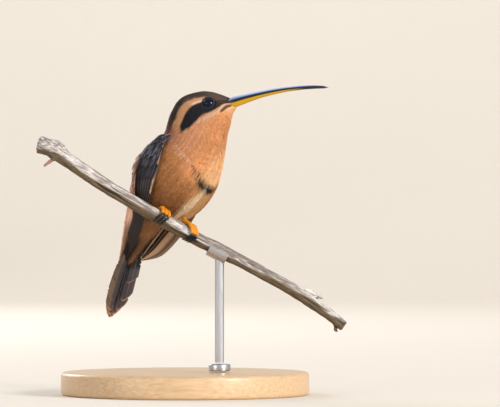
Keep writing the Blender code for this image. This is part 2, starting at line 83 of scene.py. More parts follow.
# The bill's meeting line in x and z, and along it the heights of the two mandibles and their half width.
BILL_LINE = ((9.0, 63.0), (15.5, 65.15), (23.5, 67.15), (31.1, 66.7))
BILL_Y = -1.0
BILL_HEADING = 6
BILL_SIZES = np.array((
    (0.0, 1.05, 1.0, 1.0),
    (0.06, 1.15, 1.08, 1.0),
    (0.1, 1.22, 1.10, 0.98),
    (0.22, 1.00, 0.88, 0.82),
    (0.35, 0.84, 0.62, 0.68),
    (0.6, 0.64, 0.40, 0.52),
    (0.85, 0.46, 0.30, 0.36),
    (0.95, 0.34, 0.22, 0.27),
    (1.0, 0.06, 0.05, 0.07),
))

# The folded wings' outer faces, wrist to tip: x, y, z on the leading edge, then on the trailing edge.
WINGS = {
    "right": np.array((
        (-4.0, -4.3, 55.7, -4.9, -3.1, 55.6),
        (-4.9, -5.3, 53.3, -7.8, -2.1, 53.8),
        (-5.8, -5.6, 50.3, -10.0, -0.9, 50.2),
        (-6.5, -5.3, 47.6, -10.7, -1.3, 47.3),
        (-7.2, -4.6, 45.0, -10.9, -1.5, 44.6),
        (-7.9, -3.0, 42.2, -11.1, -0.3, 41.8),
        (-8.8, -0.6, 38.7, -11.2, 1.6, 38.5),
        (-10.1, 3.7, 34.5, -12.6, 5.5, 34.3),
        (-12.9, 9.2, 29.6, -13.5, 9.4, 29.4),
    )),
    "left": np.array((
        (0.9, 7.2, 56.0, -0.6, 6.9, 56.1),
        (3.0, 8.9, 53.3, 0.2, 9.6, 53.8),
        (4.6, 9.4, 50.3, 0.8, 11.8, 50.4),
        (5.2, 9.5, 47.6, 1.6, 12.2, 48.0),
        (5.1, 9.5, 45.0, 1.6, 12.6, 46.0),
        (4.0, 9.6, 42.2, 0.6, 13.1, 43.8),
        (1.7, 10.3, 37.9, -5.0, 15.6, 40.8),
        (-1.3, 11.6, 33.8, -8.8, 16.6, 37.0),
        (-5.2, 13.0, 29.9, -11.0, 16.9, 33.0),
        (-9.8, 14.6, 28.6, -11.8, 16.4, 29.8),
    )),
}
WING_SIDES = {"right": -1, "left": 1}
WING_CAMBER = 0.7

TAIL_ROOT = np.array((-12.2, 14.6, 30.6))
TAIL_TIP = np.array((-17.0, 20.4, 15.2))
TAIL_HEADING = 48


# ---------------------------------------------------------------- numbers and curves


def srgb(red, green, blue):
    """Linear colour from the 0 to 255 values of a screen."""
    values = np.array((red, green, blue), float) / 255
    return np.where(values < 0.04045, values / 12.92, ((values + 0.055) / 1.055) ** 2.4)


def unit(vectors):
    return vectors / np.maximum(np.linalg.norm(vectors, axis=-1, keepdims=True), 1e-12)


def soft_step(values, low, high):
    """0 below low, 1 above high and smooth between; low may be the larger one."""
    part = np.clip((np.asarray(values, float) - low) / (high - low), 0, 1)
    return part * part * (3 - 2 * part)


def blended(first, second, share):
    share = np.asarray(share, float)[..., None]
    return np.asarray(first) * (1 - share) + np.asarray(second) * share


def noise(points, scale, seed=0):
    """Smooth noise from -1 to 1 at points in millimetres, its lumps about scale across."""
    grid = np.asarray(points, float) / scale + 31.7 * (seed + 1)
    cell = np.floor(grid).astype(np.int64)
    part = grid - cell
    part = part * part * (3 - 2 * part)
    total = np.zeros(grid.shape[:-1])
    for corner in np.ndindex(2, 2, 2):
        at = cell + corner
        mixed = (at[..., 0] * 73856093) ^ (at[..., 1] * 19349663) ^ (at[..., 2] * 83492791)
        mixed = (mixed ^ (mixed >> 13)) * 1274126177 & 0xFFFFFF
        weight = np.prod(np.where(corner, part, 1 - part), axis=-1)
        total += weight * mixed / 0x7FFFFF
    return total - 1


def smooth_rows(rows, t):
    """The rows of numbers at places t, counted in rows, on a smooth curve; straight beyond its ends."""
    rows = np.asarray(rows, float)
    t = np.asarray(t, float)
    last = len(rows) - 1
    inside = np.clip(t, 0, last)
    i = np.clip(inside.astype(int), 0, last - 1)
    s = (inside - i)[..., None]
    here, there = rows[i], rows[i + 1]
    slope_here = (there - rows[np.maximum(i - 1, 0)]) / np.where(i > 0, 2, 1)[..., None]
    slope_there = (rows[np.minimum(i + 2, last)] - here) / np.where(i + 2 <= last, 2, 1)[..., None]
    value = (
        (2 * s**3 - 3 * s**2 + 1) * here
        + (s**3 - 2 * s**2 + s) * slope_here
        + (3 * s**2 - 2 * s**3) * there
        + (s**3 - s**2) * slope_there
    )
    beyond = (t - inside)[..., None]
    return value + beyond * np.where(beyond < 0, slope_here, slope_there)


def even_turns(count):
    """Angles at even steps of a full turn."""
    return np.linspace(0, 2 * math.pi, count, endpoint=False)


def headed(degrees):
    """Forward and rightward unit vectors of a bird that faces this way."""
    angle = np.radians(degrees)
    zero = np.zeros_like(angle)
    forward = np.stack((np.cos(angle), -np.sin(angle), zero), -1)
    rightward = np.stack((-np.sin(angle), -np.cos(angle), zero), -1)
    return forward, rightward


def body_frame(station):
    """Middle of the body at a station, and its ellipse's dorsal and rightward radii."""
    rows = smooth_rows(BODY, station)
    forward, rightward = headed(rows[..., 3])
    lean = np.radians(rows[..., 4:5])
    dorsal = -np.cos(lean) * forward + np.sin(lean) * np.array((0.0, 0.0, 1.0))
    return rows[..., :3], dorsal * rows[..., 5:6], rightward * rows[..., 6:7]


def body_at(station, angle, swell=0.0):
    """Points of the body's surface, swollen or, below 0, shrunk by millimetres."""
    middle, dorsal, rightward = body_frame(station)
    turn = np.radians(angle)[..., None]
    swell = np.asarray(swell, float)[..., None]
    grown = [v * (1 + swell / np.linalg.norm(v, axis=-1, keepdims=True)) for v in (dorsal, rightward)]
    return middle + grown[0] * np.cos(turn) + grown[1] * np.sin(turn)


def body_scale(station, angle):
    """Millimetres that one station and one degree are, at places on the body."""
    along = body_at(station + 0.05, angle) - body_at(station - 0.05, angle)
    around = body_at(station, angle + 0.5) - body_at(station, angle - 0.5)
    return np.linalg.norm(along, axis=-1) / 0.1, np.linalg.norm(around, axis=-1)


def coat_depth(station):
    """How deep the coat lies on the skin: shallow on the face, deepest on the belly."""
    return np.interp(station, (-0.5, 2, 4.5, 6, 8, 10, 12, 13), (0.1, 0.3, 0.45, 0.6, 0.8, 0.85, 0.7, 0.45))


# ---------------------------------------------------------------- markings

CROWN = srgb(56, 46, 41)
CROWN_FRINGE = srgb(84, 71, 64)
FOREHEAD = srgb(78, 59, 50)
BROW = srgb(192, 143, 104)
BROW_PALE = srgb(234, 198, 176)
EAR = srgb(24, 23, 29)
LORES = srgb(36, 30, 26)
MALAR = srgb(190, 153, 124)
GAPE_SPOT = srgb(30, 25, 24)
CHIN = srgb(218, 170, 126)
THROAT = srgb(202, 140, 91)
THROAT_SIDE = srgb(186, 130, 94)
BREAST_PALE = srgb(222, 176, 128)
FLANK = srgb(172, 116, 70)
# The lower flank's darker brown is partly its own colour, partly painted shade.
FLANK_LOW_AND_SHADE = srgb(128, 84, 46)
BELLY_SIDE = srgb(182, 138, 90)
BELLY_STRIPE = srgb(206, 184, 152)
NECK_LINE = srgb(200, 166, 150)
BAND = srgb(14, 12, 13)
MANTLE = srgb(134, 92, 72)
MANTLE_FRINGE = srgb(172, 124, 100)
RUMP = srgb(204, 144, 118)
RUMP_FRINGE = srgb(222, 174, 148)
FLUFF = srgb(248, 206, 176)
FLUFF_DULL = srgb(160, 122, 98)
VENT = srgb(138, 96, 60)
# The dark under-tail coverts, deepened by painted shadow under the tail's root.
VENT_DARK_AND_SHADOW = srgb(34, 25, 22)

# The lower edge of the dark crown: station and angle.
CROWN_EDGE = np.array((
    (-1, 84), (1.3, 86), (2.0, 80), (2.4, 62), (2.8, 50), (3.3, 45), (3.7, 42), (4.1, 42), (4.6, 44),
    (5.0, 46), (5.6, 52),
))
# Marks as strokes over the body: station, angle and half width in millimetres.
STROKES = {
    "lores": ((0.2, 74, 0.45), (1.2, 78, 0.6), (2.0, 82, 0.9), (2.6, 84, 1.2), (3.2, 80, 1.4)),
    "ear": (
        (2.75, 90, 0.7), (3.1, 85, 1.15), (3.5, 79, 1.5), (4.0, 76, 1.65), (4.5, 75.5, 1.4),
        (4.85, 74.5, 1.1), (5.08, 73.5, 0.75),
    ),
    "brow_pale": ((3.1, 63, 0.35), (3.35, 63, 0.6), (3.65, 60, 0.45)),
    "malar": (
        (0.5, 97, 0.35), (1.6, 98, 0.45), (2.65, 103, 0.6), (3.35, 102, 0.6), (3.95, 98, 0.5),
        (4.4, 92, 0.35),
    ),
    "gape": ((0.1, 104, 0.3), (1.0, 105, 0.42), (1.8, 108, 0.4), (2.4, 111, 0.25)),
    "neck_line": (
        (5.75, 51, 0.35), (6.05, 70, 0.35), (6.28, 96, 0.35), (6.6, 119, 0.35), (6.85, 133, 0.3),
    ),
    "band": (
        (6.75, 126, 0.25), (6.95, 137, 0.45), (7.12, 147, 0.65), (7.34, 156, 0.85), (7.55, 166, 0.95),
        (7.66, 176, 1.05), (7.73, 187, 1.0), (7.76, 197, 0.6), (7.7, 206, 0.4), (7.5, 214, 0.4),
        (7.1, 224, 0.3),
    ),
    "belly_stripe": (
        (7.8, 172, 0.7), (8.25, 168, 1.15), (8.75, 166, 1.35), (9.25, 165, 1.2), (9.7, 163, 0.9),
    ),
}


def stroke_depth(points, stroke, one_sided=False):
    """How deep inside a stroke the points lie: 1 on its middle line, 0 at its edge, below 0 outside.

    A stroke is on both sides of the body, unless it is one-sided.
    """
    rows = smooth_rows(stroke, np.linspace(0, len(stroke) - 1, 6 * len(stroke)))
    best = np.full(points.shape[:-1], -9.0)
    for side in (1,) if one_sided else (1, -1):
        for station, angle, width in rows:
            distance = np.linalg.norm(points - body_at(station, side * angle), axis=-1)
            best = np.maximum(best, 1 - distance / width)
    return best


# Length and breadth of a strand of tone in the plumage, in stations and degrees.
STRAND_STATIONS = 1.3
STRAND_DEGREES = 2.8
# How much of a change in tone each of red, green and blue takes, so that dark strands are redder.
TONE_TINT = np.array((0.8, 1.0, 1.2))


def strands(station, angle, seed):
    """Tones from -1 to 1 in long narrow strands that run along the body."""
    places = np.stack((station / STRAND_STATIONS, angle / STRAND_DEGREES, 0 * station), -1)
    return 0.6 * noise(places, 1, seed) + 0.4 * noise(places * (1.8, 2.2, 1), 1, seed + 1)


def under_colour(place, turn):
    """Chin, throat, breast, flanks, belly and vent, without their marks."""
    throat = blended(CHIN, THROAT, soft_step(place, 0.5, 3.0))
    throat = blended(throat, THROAT_SIDE, soft_step(turn, 135, 95) * soft_step(place, 2.2, 4.2))
    throat = blended(throat, BREAST_PALE, soft_step(turn, 134, 172) * soft_step(place, 3.6, 6.8))
    # Towards the rear the flank darkens: its own colour and painted shade.
    flank = blended(FLANK, FLANK_LOW_AND_SHADE, soft_step(place, 7.1, 8.9))
    belly = blended(flank, BELLY_SIDE, soft_step(turn, 148, 172))
    border = place + 0.7 * soft_step(turn, 150, 90) - 0.12 * soft_step(turn, 160, 176)
    under = blended(throat, belly, soft_step(border, 7.1, 7.7))
    under = blended(under, flank, soft_step(place, 5.6, 6.6) * soft_step(turn, 132, 100))
    side = blended(FLUFF, FLUFF_DULL, soft_step(place, 10.8, 11.8))
    # Near the tail the vent darkens with painted shadow.
    vent = blended(VENT, VENT_DARK_AND_SHADOW, soft_step(place, 11.4, 12.4) * (1 - 0.5 * soft_step(turn, 150, 172)))
    vent = blended(side, vent, soft_step(turn, 84, 112))
    return blended(under, vent, soft_step(place, 9.8, 10.8))


def head_colour(place, turn, under, crown_edge):
    """Crown, forehead and brow over the throat's colour."""
    brow = soft_step(turn, 92, 78) * soft_step(place, 5.6, 5.0)
    face = blended(under, BROW, brow)
    crown = blended(FOREHEAD, CROWN, soft_step(place, 1.8, 3.2))
    return blended(face, crown, soft_step(turn, crown_edge + 3, crown_edge - 3))


def markings(station, angle, points):
    """The plumage's colour at places on the body, and how scaly its feathers look there, from 0 to 1."""
    turn = np.abs((angle + 180) % 360 - 180)
    strand = strands(station, angle, 6)
    turn = turn + 3 * noise(points, 1.3, 3) + 1.5 * strand
    place = station + 0.12 * noise(points, 1.6, 4)

    under = under_colour(place, turn)
    mantle = blended(MANTLE, RUMP, soft_step(place, 7.4, 8.8))
    back_edge = np.interp(place, (7.0, 9.0), (50, 62))
    side_edge = np.interp(place, (7.0, 9.0), (66, 88))
    colour = blended(mantle, under, soft_step(turn, back_edge, side_edge))
    crown_edge = np.interp(station, CROWN_EDGE[:, 0], CROWN_EDGE[:, 1])
    head = head_colour(place, turn, under, crown_edge)
    colour = blended(colour, head, soft_step(place, 6.0, 5.1))

    spots = soft_step(noise(points, 0.75, 17), -0.95, -0.55)
    for name, paint, strength in (
        ("malar", MALAR, 0.85),
        ("brow_pale", BROW_PALE, 0.75),
        ("lores", LORES, 1.0),
        ("ear", EAR, 1.0),
        ("gape", GAPE_SPOT, 0.85 * spots),
        ("neck_line", NECK_LINE, 0.65),
        ("band", BAND, spots),
    ):
        depth = stroke_depth(points, STROKES[name], one_sided=name == "band") + 0.35 * strand
        colour = blended(colour, paint, strength * soft_step(depth, -0.12, 0.22))
    depth = stroke_depth(points, STROKES["belly_stripe"], one_sided=True) + 0.45 * strand
    colour = blended(colour, BELLY_STRIPE, 0.95 * soft_step(depth, -0.1, 0.6))

    tone = (0.2 + 0.25 * soft_step(place, 10.3, 11.3)) * strand + 0.1 * noise(points, 3.0, 9)
    colour = colour * (1 + tone[..., None] * TONE_TINT)
    scaly_back = soft_step(turn, 70, 50) * soft_step(place, 5.2, 6.2)
    scaly_crown = 0.5 * soft_step(turn, crown_edge + 4, crown_edge - 4) * soft_step(place, 6.2, 5.2)
    return colour, np.maximum(scaly_back, scaly_crown)


def fringe_colour(station):
    """The pale edge of the upper parts' feathers."""
    back = blended(MANTLE_FRINGE, RUMP_FRINGE, soft_step(station, 7.4, 8.8))
    return blended(CROWN_FRINGE, back, soft_step(station, 4.8, 6.0))


# ---------------------------------------------------------------- materials


def add_node(tree, kind, inputs=None, **settings):
    """A node of a material, with values for its settings and for its named inputs."""
    node = tree.nodes.new(kind)
    for name, value in settings.items():
        setattr(node, name, value)
    for name, value in (inputs or {}).items():
        node.inputs[name].default_value = value
    return node


def grain_value(tree, scale, stretch=(1, 1, 1), turn=(0, 0, 0), detail=3.0, uv=None):
    """Procedural noise in the object's own metres, or on a named UV map, its lumps 1/scale across."""
    if uv:
        places = add_node(tree, "ShaderNodeUVMap", uv_map=uv).outputs["UV"]
    else:
        places = add_node(tree, "ShaderNodeTexCoord").outputs["Object"]
    mapping = add_node(tree, "ShaderNodeMapping", {"Scale": stretch, "Rotation": turn})
    lumps = add_node(tree, "ShaderNodeTexNoise", {"Scale": scale, "Detail": detail})
    tree.links.new(places, mapping.inputs["Vector"])
    tree.links.new(mapping.outputs["Vector"], lumps.inputs["Vector"])
    return lumps.outputs[0]


FINE_GRAIN = {"scale": 2500}
# The span of the noise that is stretched over a material's shades.
GRAIN_SPAN = (0.25, 0.75)
RELIEF_DEPTH = 0.0001


def finish(name, colour, roughness=(0.5, 0.7), grain=FINE_GRAIN, bump=0.3, shade=(0.85, 1.1), **sockets):
    """A Principled material whose brightness, roughness and relief follow one grain.

    colour is RGB or the name of a colour attribute; shade is the darkest and the lightest that the
    grain makes it. The sockets' names have _ for a space.
    """
    material = bpy.data.materials.new(name)
    material.use_nodes = True
    tree = material.node_tree
    shader = tree.nodes["Principled BSDF"]
    value = grain_value(tree, **grain)
    shades = add_node(tree, "ShaderNodeMapRange", {
        "From Min": GRAIN_SPAN[0], "From Max": GRAIN_SPAN[1], "To Min": shade[0], "To Max": shade[1],
    })
    tree.links.new(value, shades.inputs["Value"])
    mix = add_node(tree, "ShaderNodeVectorMath", operation="SCALE")
    if isinstance(colour, str):
        source = add_node(tree, "ShaderNodeAttribute", attribute_name=colour)
        tree.links.new(source.outputs["Color"], mix.inputs[0])
    else:
        mix.inputs[0].default_value = tuple(colour)
    tree.links.new(shades.outputs["Result"], mix.inputs["Scale"])
    tree.links.new(mix.outputs["Vector"], shader.inputs["Base Color"])
    rough = add_node(tree, "ShaderNodeMapRange", {"To Min": roughness[0], "To Max": roughness[1]})
    tree.links.new(value, rough.inputs["Value"])
    tree.links.new(rough.outputs["Result"], shader.inputs["Roughness"])
    relief = add_node(tree, "ShaderNodeBump", {"Strength": bump, "Distance": RELIEF_DEPTH})
    tree.links.new(value, relief.inputs["Height"])
    tree.links.new(relief.outputs["Normal"], shader.inputs["Normal"])
    for socket, amount in sockets.items():
        shader.inputs[socket.replace("_", " ")].default_value = amount
    return material


def plumage_finish():
    return finish(
        "plumage", "Plumage", roughness=(0.6, 0.85), bump=0.15, shade=(0.92, 1.06),
        Sheen_Weight=0.05, Sheen_Roughness=0.5, Specular_IOR_Level=0.18,
    )


def vane_finish():
    """Flight feathers, with fine barbs that run slantwise from the shaft."""
    return finish(
        "vanes", "Plumage", roughness=(0.5, 0.7), bump=0.25, shade=(0.92, 1.07), Specular_IOR_Level=0.28,
        grain={"scale": 9, "uv": "Vane", "stretch": (1, 9, 1), "turn": (0, 0, 0.6), "detail": 2.0},
    )


def horn_finish():
    return finish(
        "horn", "Plumage", roughness=(0.24, 0.36), bump=0.08, shade=(0.92, 1.05), Specular_IOR_Level=0.4,
    )


def eye_finish():
    return finish(
        # Near black, tinted navy as a painted blue reflection.
        "eye", srgb(10, 12, 22), roughness=(0.05, 0.09), bump=0.0, shade=(0.8, 1.2),
        Specular_IOR_Level=0.35, Specular_Tint=(0.4, 0.58, 1.0, 1.0),
    )


def lid_finish():
    return finish("eyelids", srgb(18, 17, 20), roughness=(0.5, 0.7), bump=0.4)


def bark_finish():
    """Dry wood, its fine fibres along the sloping branch."""
    return finish(
        "dry_bark", "Plumage", roughness=(0.75, 0.95), bump=0.7, shade=(0.6, 1.22),
        grain={"scale": 3600, "stretch": (0.12, 1, 1), "turn": (0, -0.52, 0), "detail": 6.0},
    )


def toe_finish():
    return finish("toe_skin", "Plumage", roughness=(0.4, 0.6), bump=0.25, shade=(0.92, 1.06))


def claw_finish():
    return finish(
        "claw_horn", "Plumage", roughness=(0.35, 0.5), bump=0.1, shade=(0.9, 1.1), Specular_IOR_Level=0.3,
    )


def wood_finish():
    """Turned pale wood, its grain along X."""
    return finish(
        "turned_wood", srgb(206, 172, 132), roughness=(0.35, 0.55), bump=0.12, shade=(0.72, 1.08),
        grain={"scale": 160, "stretch": (1, 14, 14), "detail": 6.0}, Coat_Weight=0.25, Coat_Roughness=0.2,
    )


def steel_finish():
    """Satin steel, brushed along its height."""
    return finish(
        "satin_steel", srgb(190, 190, 194), roughness=(0.22, 0.38), bump=0.05, shade=(0.94, 1.03),
        grain={"scale": 3000, "stretch": (1, 1, 0.08)}, Metallic=1.0,
    )


def paper_finish():
    return finish(
        "backdrop_paper", srgb(224, 216, 205), roughness=(0.9, 1.0), bump=0.02, shade=(0.99, 1.0),
        grain={"scale": 20},
    )


# ---------------------------------------------------------------- meshes


def new_piece(
    name, points, faces, material, colours=None, bake_uv=None, vane_uv=None, replaces=(), smooth=True
):
    """A piece of the model. points are in millimetres; faces is a list of index arrays, (n, 3) or (n, 4).

    colours and the two maps hold one row for each point.
    """
    mesh = bpy.data.meshes.new(name)
    points = np.asarray(points, float).reshape(-1, 3)
    loops = np.concatenate([f.ravel() for f in faces])
    totals = np.concatenate([np.full(len(f), f.shape[1]) for f in faces])
    mesh.vertices.add(len(points))
    mesh.vertices.foreach_set("co", (points * MM).astype(np.float32).ravel())
    mesh.loops.add(len(loops))
    mesh.loops.foreach_set("vertex_index", loops.astype(np.int32))
    mesh.polygons.add(len(totals))
    mesh.polygons.foreach_set("loop_start", np.concatenate(([0], np.cumsum(totals)[:-1])).astype(np.int32))
    mesh.polygons.foreach_set("use_smooth", np.full(len(totals), smooth))
    mesh.update(calc_edges=True)
    for layer_name, places in (("OFBake", bake_uv), ("Vane", vane_uv)):
        if places is not None:
            layer = mesh.uv_layers.new(name=layer_name)
            layer.data.foreach_set("uv", np.asarray(places, np.float32)[loops].ravel())
    if colours is not None:
        layer = mesh.color_attributes.new("Plumage", "FLOAT_COLOR", "POINT")
        rgba = np.concatenate((np.clip(colours, 0, 1), np.ones((len(points), 1))), axis=1)
        layer.data.foreach_set("color", rgba.astype(np.float32).ravel())
    mesh.validate()
    obj = bpy.data.objects.new(name, mesh)
    bpy.context.scene.collection.objects.link(obj)
    mesh.materials.append(material)
    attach(obj, BODY_NAME)
    if replaces:
        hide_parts(*replaces)
    return obj


def grid_faces(rows, columns, closed=False):
    """Quads between neighbouring rows of points; closed joins each row's end to its start."""
    row, column = np.indices((rows - 1, columns if closed else columns - 1))
    here, there, beside = row * columns, (row + 1) * columns, (column + 1) % columns
    return np.stack((here + column, here + beside, there + beside, there + column), -1).reshape(-1, 4)


def end_fans(rows, columns):
    """Triangles over both ends of a closed grid. The ends' middles are the two points after the grid's."""
    around = np.arange(columns)
    beside = (around + 1) % columns
    last_row = (rows - 1) * columns
    first = np.stack((np.full(columns, rows * columns), beside, around), -1)
    last = np.stack((np.full(columns, rows * columns + 1), last_row + around, last_row + beside), -1)
    return [first, last]


def tidy_normals(piece):
    """Welds a piece's seams and turns all its faces outwards."""
    welder = bmesh.new()
    welder.from_mesh(piece.data)
    bmesh.ops.remove_doubles(welder, verts=welder.verts, dist=0.0005 * MM)
    bmesh.ops.recalc_face_normals(welder, faces=welder.faces)
    welder.to_mesh(piece.data)
    welder.free()


# A lock is a closed three-sided spike: three points round its root, three round its middle, and its tip.
LOCK_FACES = np.array((
    (2, 1, 0),
    (0, 1, 4), (0, 4, 3), (1, 2, 5), (1, 5, 4), (2, 0, 3), (2, 3, 5),
    (3, 4, 6), (4, 5, 6), (5, 3, 6),
))
LOCK_POINTS = 7
# How wide and high a lock's root is beside its middle.
LOCK_ROOT = 0.6


def lock_points(stops, across, outward, width, depth):
    """Points of locks that run through three stops each. All arrays have one row a lock."""
    side = across * width[:, None] / 2
    lift = outward * depth[:, None]
    root, middle, tip = stops[:, 0], stops[:, 1], stops[:, 2]
    rings = [
        root - LOCK_ROOT * side, root + LOCK_ROOT * side, root + LOCK_ROOT * lift,
        middle - side, middle + side, middle + lift,
        tip,
    ]
    return np.stack(rings, 1)


# ---------------------------------------------------------------- body: skin and coat


def skin_uv(station, angle):
    """Where a place on the body lies on the map for baking, which follows the body's own shape."""
    around = (np.asarray(angle, float) % 360.0001) / 360
    along = (np.asarray(station, float) + 1) / (LAST_STATION + 1)
    return np.stack((0.01 + 0.98 * around, 0.01 + 0.98 * along), -1)


SKIN_ROWS = 156
SKIN_COLUMNS = 120
# Painted shade: the skin is darker than the coat, as the shade in the coat's gaps that it shows through.
SKIN_PAINTED_SHADE = 0.8


def feathered_from(angle):
    """The first station with feathers: they run on over the bill's root and farther still under it."""
    turn = np.abs((np.asarray(angle, float) + 180) % 360 - 180)
    return 0.1 - 0.7 * soft_step(turn, 60, 20) - 0.95 * soft_step(turn, 112, 160)


def make_skin(material):
    """The skin under the coat, from the bill's root to the tail's, closed at both ends."""
    columns = SKIN_COLUMNS + 1
    rows, angles = np.linspace(0, 1, SKIN_ROWS), np.linspace(0, 360, columns)
    share, angle = (grid.ravel() for grid in np.meshgrid(rows, angles, indexing="ij"))
    start = feathered_from(angle)
    station = start + (LAST_STATION - start) * share
    surface = body_at(station, angle)
    points = body_at(station, angle, -coat_depth(station) + 0.04 * noise(surface, 0.5, 8))
    colours, _ = markings(station, angle, surface)
    faces = [grid_faces(SKIN_ROWS, columns)]
    for row, flip in ((0, 1), (SKIN_ROWS - 1, -1)):
        ring = row * columns + np.arange(columns)
        faces.append(np.stack((ring[:-1], ring[1:], np.full(SKIN_COLUMNS, len(points))), -1)[:, ::flip])
        points = np.vstack((points, points[ring].mean(0)))
        colours = np.vstack((colours, colours[ring].mean(0)))
        station, angle = np.append(station, station[ring[0]]), np.append(angle, 180)
    tidy_normals(new_piece(
        "skin", points, faces, material, SKIN_PAINTED_SHADE * colours, skin_uv(station, angle),
        replaces=("head", "neck", "breast", "belly", "tail_coverts"),
    ))


# Coat pieces: name, first and last station, feather length in millimetres at each end, locks a feather.
COAT_PIECES = (
    ("coat_face", -0.85, 3.0, 0.6, 0.95, 7),
    ("coat_head", 3.0, 4.6, 0.95, 1.25, 9),
    ("coat_neck", 4.6, 6.2, 1.25, 1.9, 12),
    ("coat_breast", 6.2, 8.4, 1.9, 2.5, 16),
    ("coat_belly", 8.4, 10.9, 2.5, 3.0, 16),
    ("coat_tail", 10.9, 13.05, 3.0, 3.3, 16),
)
# Radius of the bare ring round an eye, in millimetres.
EYE_CLEARANCE = 1.42
# From row to row in feather lengths, from feather to feather in widths, and a feather's width in lengths.
ROW_STEP = 0.34
SIDE_STEP = 0.5
FEATHER_WIDTH = 0.58
# A lock's width, where 1 would split its feather evenly, and its height as a share of its width.
LOCK_WIDTH = 1.5
LOCK_HEIGHT = 0.22
# The shares of locks that stand out and that are dark.
STRAY_SHARE = 0.04
DARK_SHARE = 0.008
# Painted shade along a lock: darkest at its buried root, lighter at its middle and lightest at its tip; one
# for each of its points.
LOCK_PAINTED_SHADES = (0.76, 0.76, 0.76, 1.04, 1.04, 1.04, 1.16)
# Each lock's own small patch on the map for baking: its points in shares of the patch, and its size.
LOCK_PATCH = np.array((
    (-0.05, -0.5), (0.05, -0.5), (0, -0.5), (-0.05, 0), (0.05, 0), (0, 0), (0, 0.5),
))
PATCH = 0.003


def feather_roots(start, end, length_start, length_end, rng):
    """Staggered rows of feather roots: their station, angle and length."""
    station, row, found = start, 0, []
    sweep = np.arange(361.0)
    while station < end:
        ring = body_at(np.full(len(sweep), station), sweep)
        arc = np.concatenate(([0], np.cumsum(np.linalg.norm(np.diff(ring, axis=0), axis=1))))
        length = np.interp(station, (start, end), (length_start, length_end))
        count = max(8, round(arc[-1] / (length * FEATHER_WIDTH * SIDE_STEP)))
        places = (np.arange(count) + 0.5 * (row % 2) + rng.uniform(-0.25, 0.25, count)) / count * arc[-1]
        angles = np.interp(places % arc[-1], arc, sweep)
        step, _ = body_scale(np.full(count, station), angles)
        jitter = rng.uniform(-0.15, 0.15, count)
        stations = station + jitter * length / step
        lengths = length * rng.uniform(0.88, 1.12, count) * np.clip(step / step.mean(), 0.75, 1.3)
        found.append(np.stack((stations, angles, lengths), 1))
        station += ROW_STEP * length / step.mean()
        row += 1
    roots = np.concatenate(found)
    return roots[roots[:, 0] > feathered_from(roots[:, 1])]


def eye_axis(name):
    """Middle of an eyeball in millimetres, its radius, and the way it looks out."""
    low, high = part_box(f"eye_{name}")
    centre = np.array((low + high) / 2) / MM
    radius = (high - low).z / 2 / MM
    station = np.linspace(2, 4, 81)
    near = station[np.argmin(np.linalg.norm(body_frame(station)[0] - centre, axis=1))]
    return centre, radius, unit(centre - body_frame(near)[0])


def clear_of_eyes(points):
    """Which points lie outside the bare rings round the eyes."""
    clear = np.ones(len(points), bool)
    for name in ("right", "left"):
        centre, _, _ = eye_axis(name)
        clear &= np.linalg.norm(points - centre, axis=1) > EYE_CLEARANCE
    return clear


def lock_stops(roots, locks, rng):
    """Root, middle and tip of the locks that lie clear of the eyes.

    Gives their points, their (station, angle) places, and which of all the locks they are.
    """
    count = len(roots)
    fan = np.linspace(-1, 1, locks)[None, :]
    station, angle, length = (roots[:, k][:, None] for k in range(3))
    width = FEATHER_WIDTH * length
    along_scale, around_scale = body_scale(station, angle)
    stray = rng.random((count, locks)) < STRAY_SHARE
    reach = length * (1 - 0.25 * fan**2) * rng.uniform(0.8, 1.2, (count, locks)) * (1 + 0.25 * stray)
    spread = width / 2 * fan * rng.uniform(0.75, 1.2, (count, locks)) + 0.06 * rng.normal(size=(count, locks))

    lift = 0.035 * rng.normal(size=(count, locks)) + 0.02 * rng.normal(size=(count, 1)) + 0.08 * stray
    lift = lift * np.interp(station, (0, 3, 9, 10.5), (0.6, 1, 1, 2))
    # The feathers of the throat and breast lie closer than those of the back.
    lift = lift * (1 - 0.4 * soft_step(np.abs((angle + 180) % 360 - 180), 70, 140))
    depth = coat_depth(station)
    heights = (-depth - 0.05, -0.5 * depth, -0.06 + lift)
    stops, places = [], []
    for share, across, height in zip((0.0, 0.5, 1.0), (0.25, 0.75, 1.0), heights):
        place = (station + share * reach / along_scale, angle + across * spread / around_scale)
        places.append([part.ravel() for part in place])
        stops.append(body_at(*place, height).reshape(-1, 3))
    kept = clear_of_eyes(stops[2]) & clear_of_eyes(stops[1])
    return np.stack(stops, 1)[kept], np.array(places)[:, :, kept], kept


def lock_colours(stops, places, feather, count, rng):
    """Colours of the locks' points. feather is which of the count feathers each lock belongs to."""
    # Locks of the head take their colour from a little way off, so that its marks have soft edges.
    slip = rng.normal(size=(2, len(stops))) * ((0.07,), (3.5,)) * soft_step(places[2][0], 5.2, 4.2)
    tip, scaly = markings(*(places[2] + slip), stops[:, 2])
    middle, _ = markings(*places[1], stops[:, 1])
    tip = blended(tip, fringe_colour(places[2][0]), 0.75 * scaly)
    middle = middle * (1 - 0.25 * scaly)[:, None]
    tone = rng.uniform(0.95, 1.05, count)[feather]
    tone = tone * np.clip(rng.normal(1, 0.05, len(tone)), 0.65, 1.3)
    tone = np.where(rng.random(len(tone)) < DARK_SHARE, 0.45 * tone, tone)[:, None]
    colours = [middle] * 6 + [tip]
    return np.stack([colour * share * tone for colour, share in zip(colours, LOCK_PAINTED_SHADES)], 1)


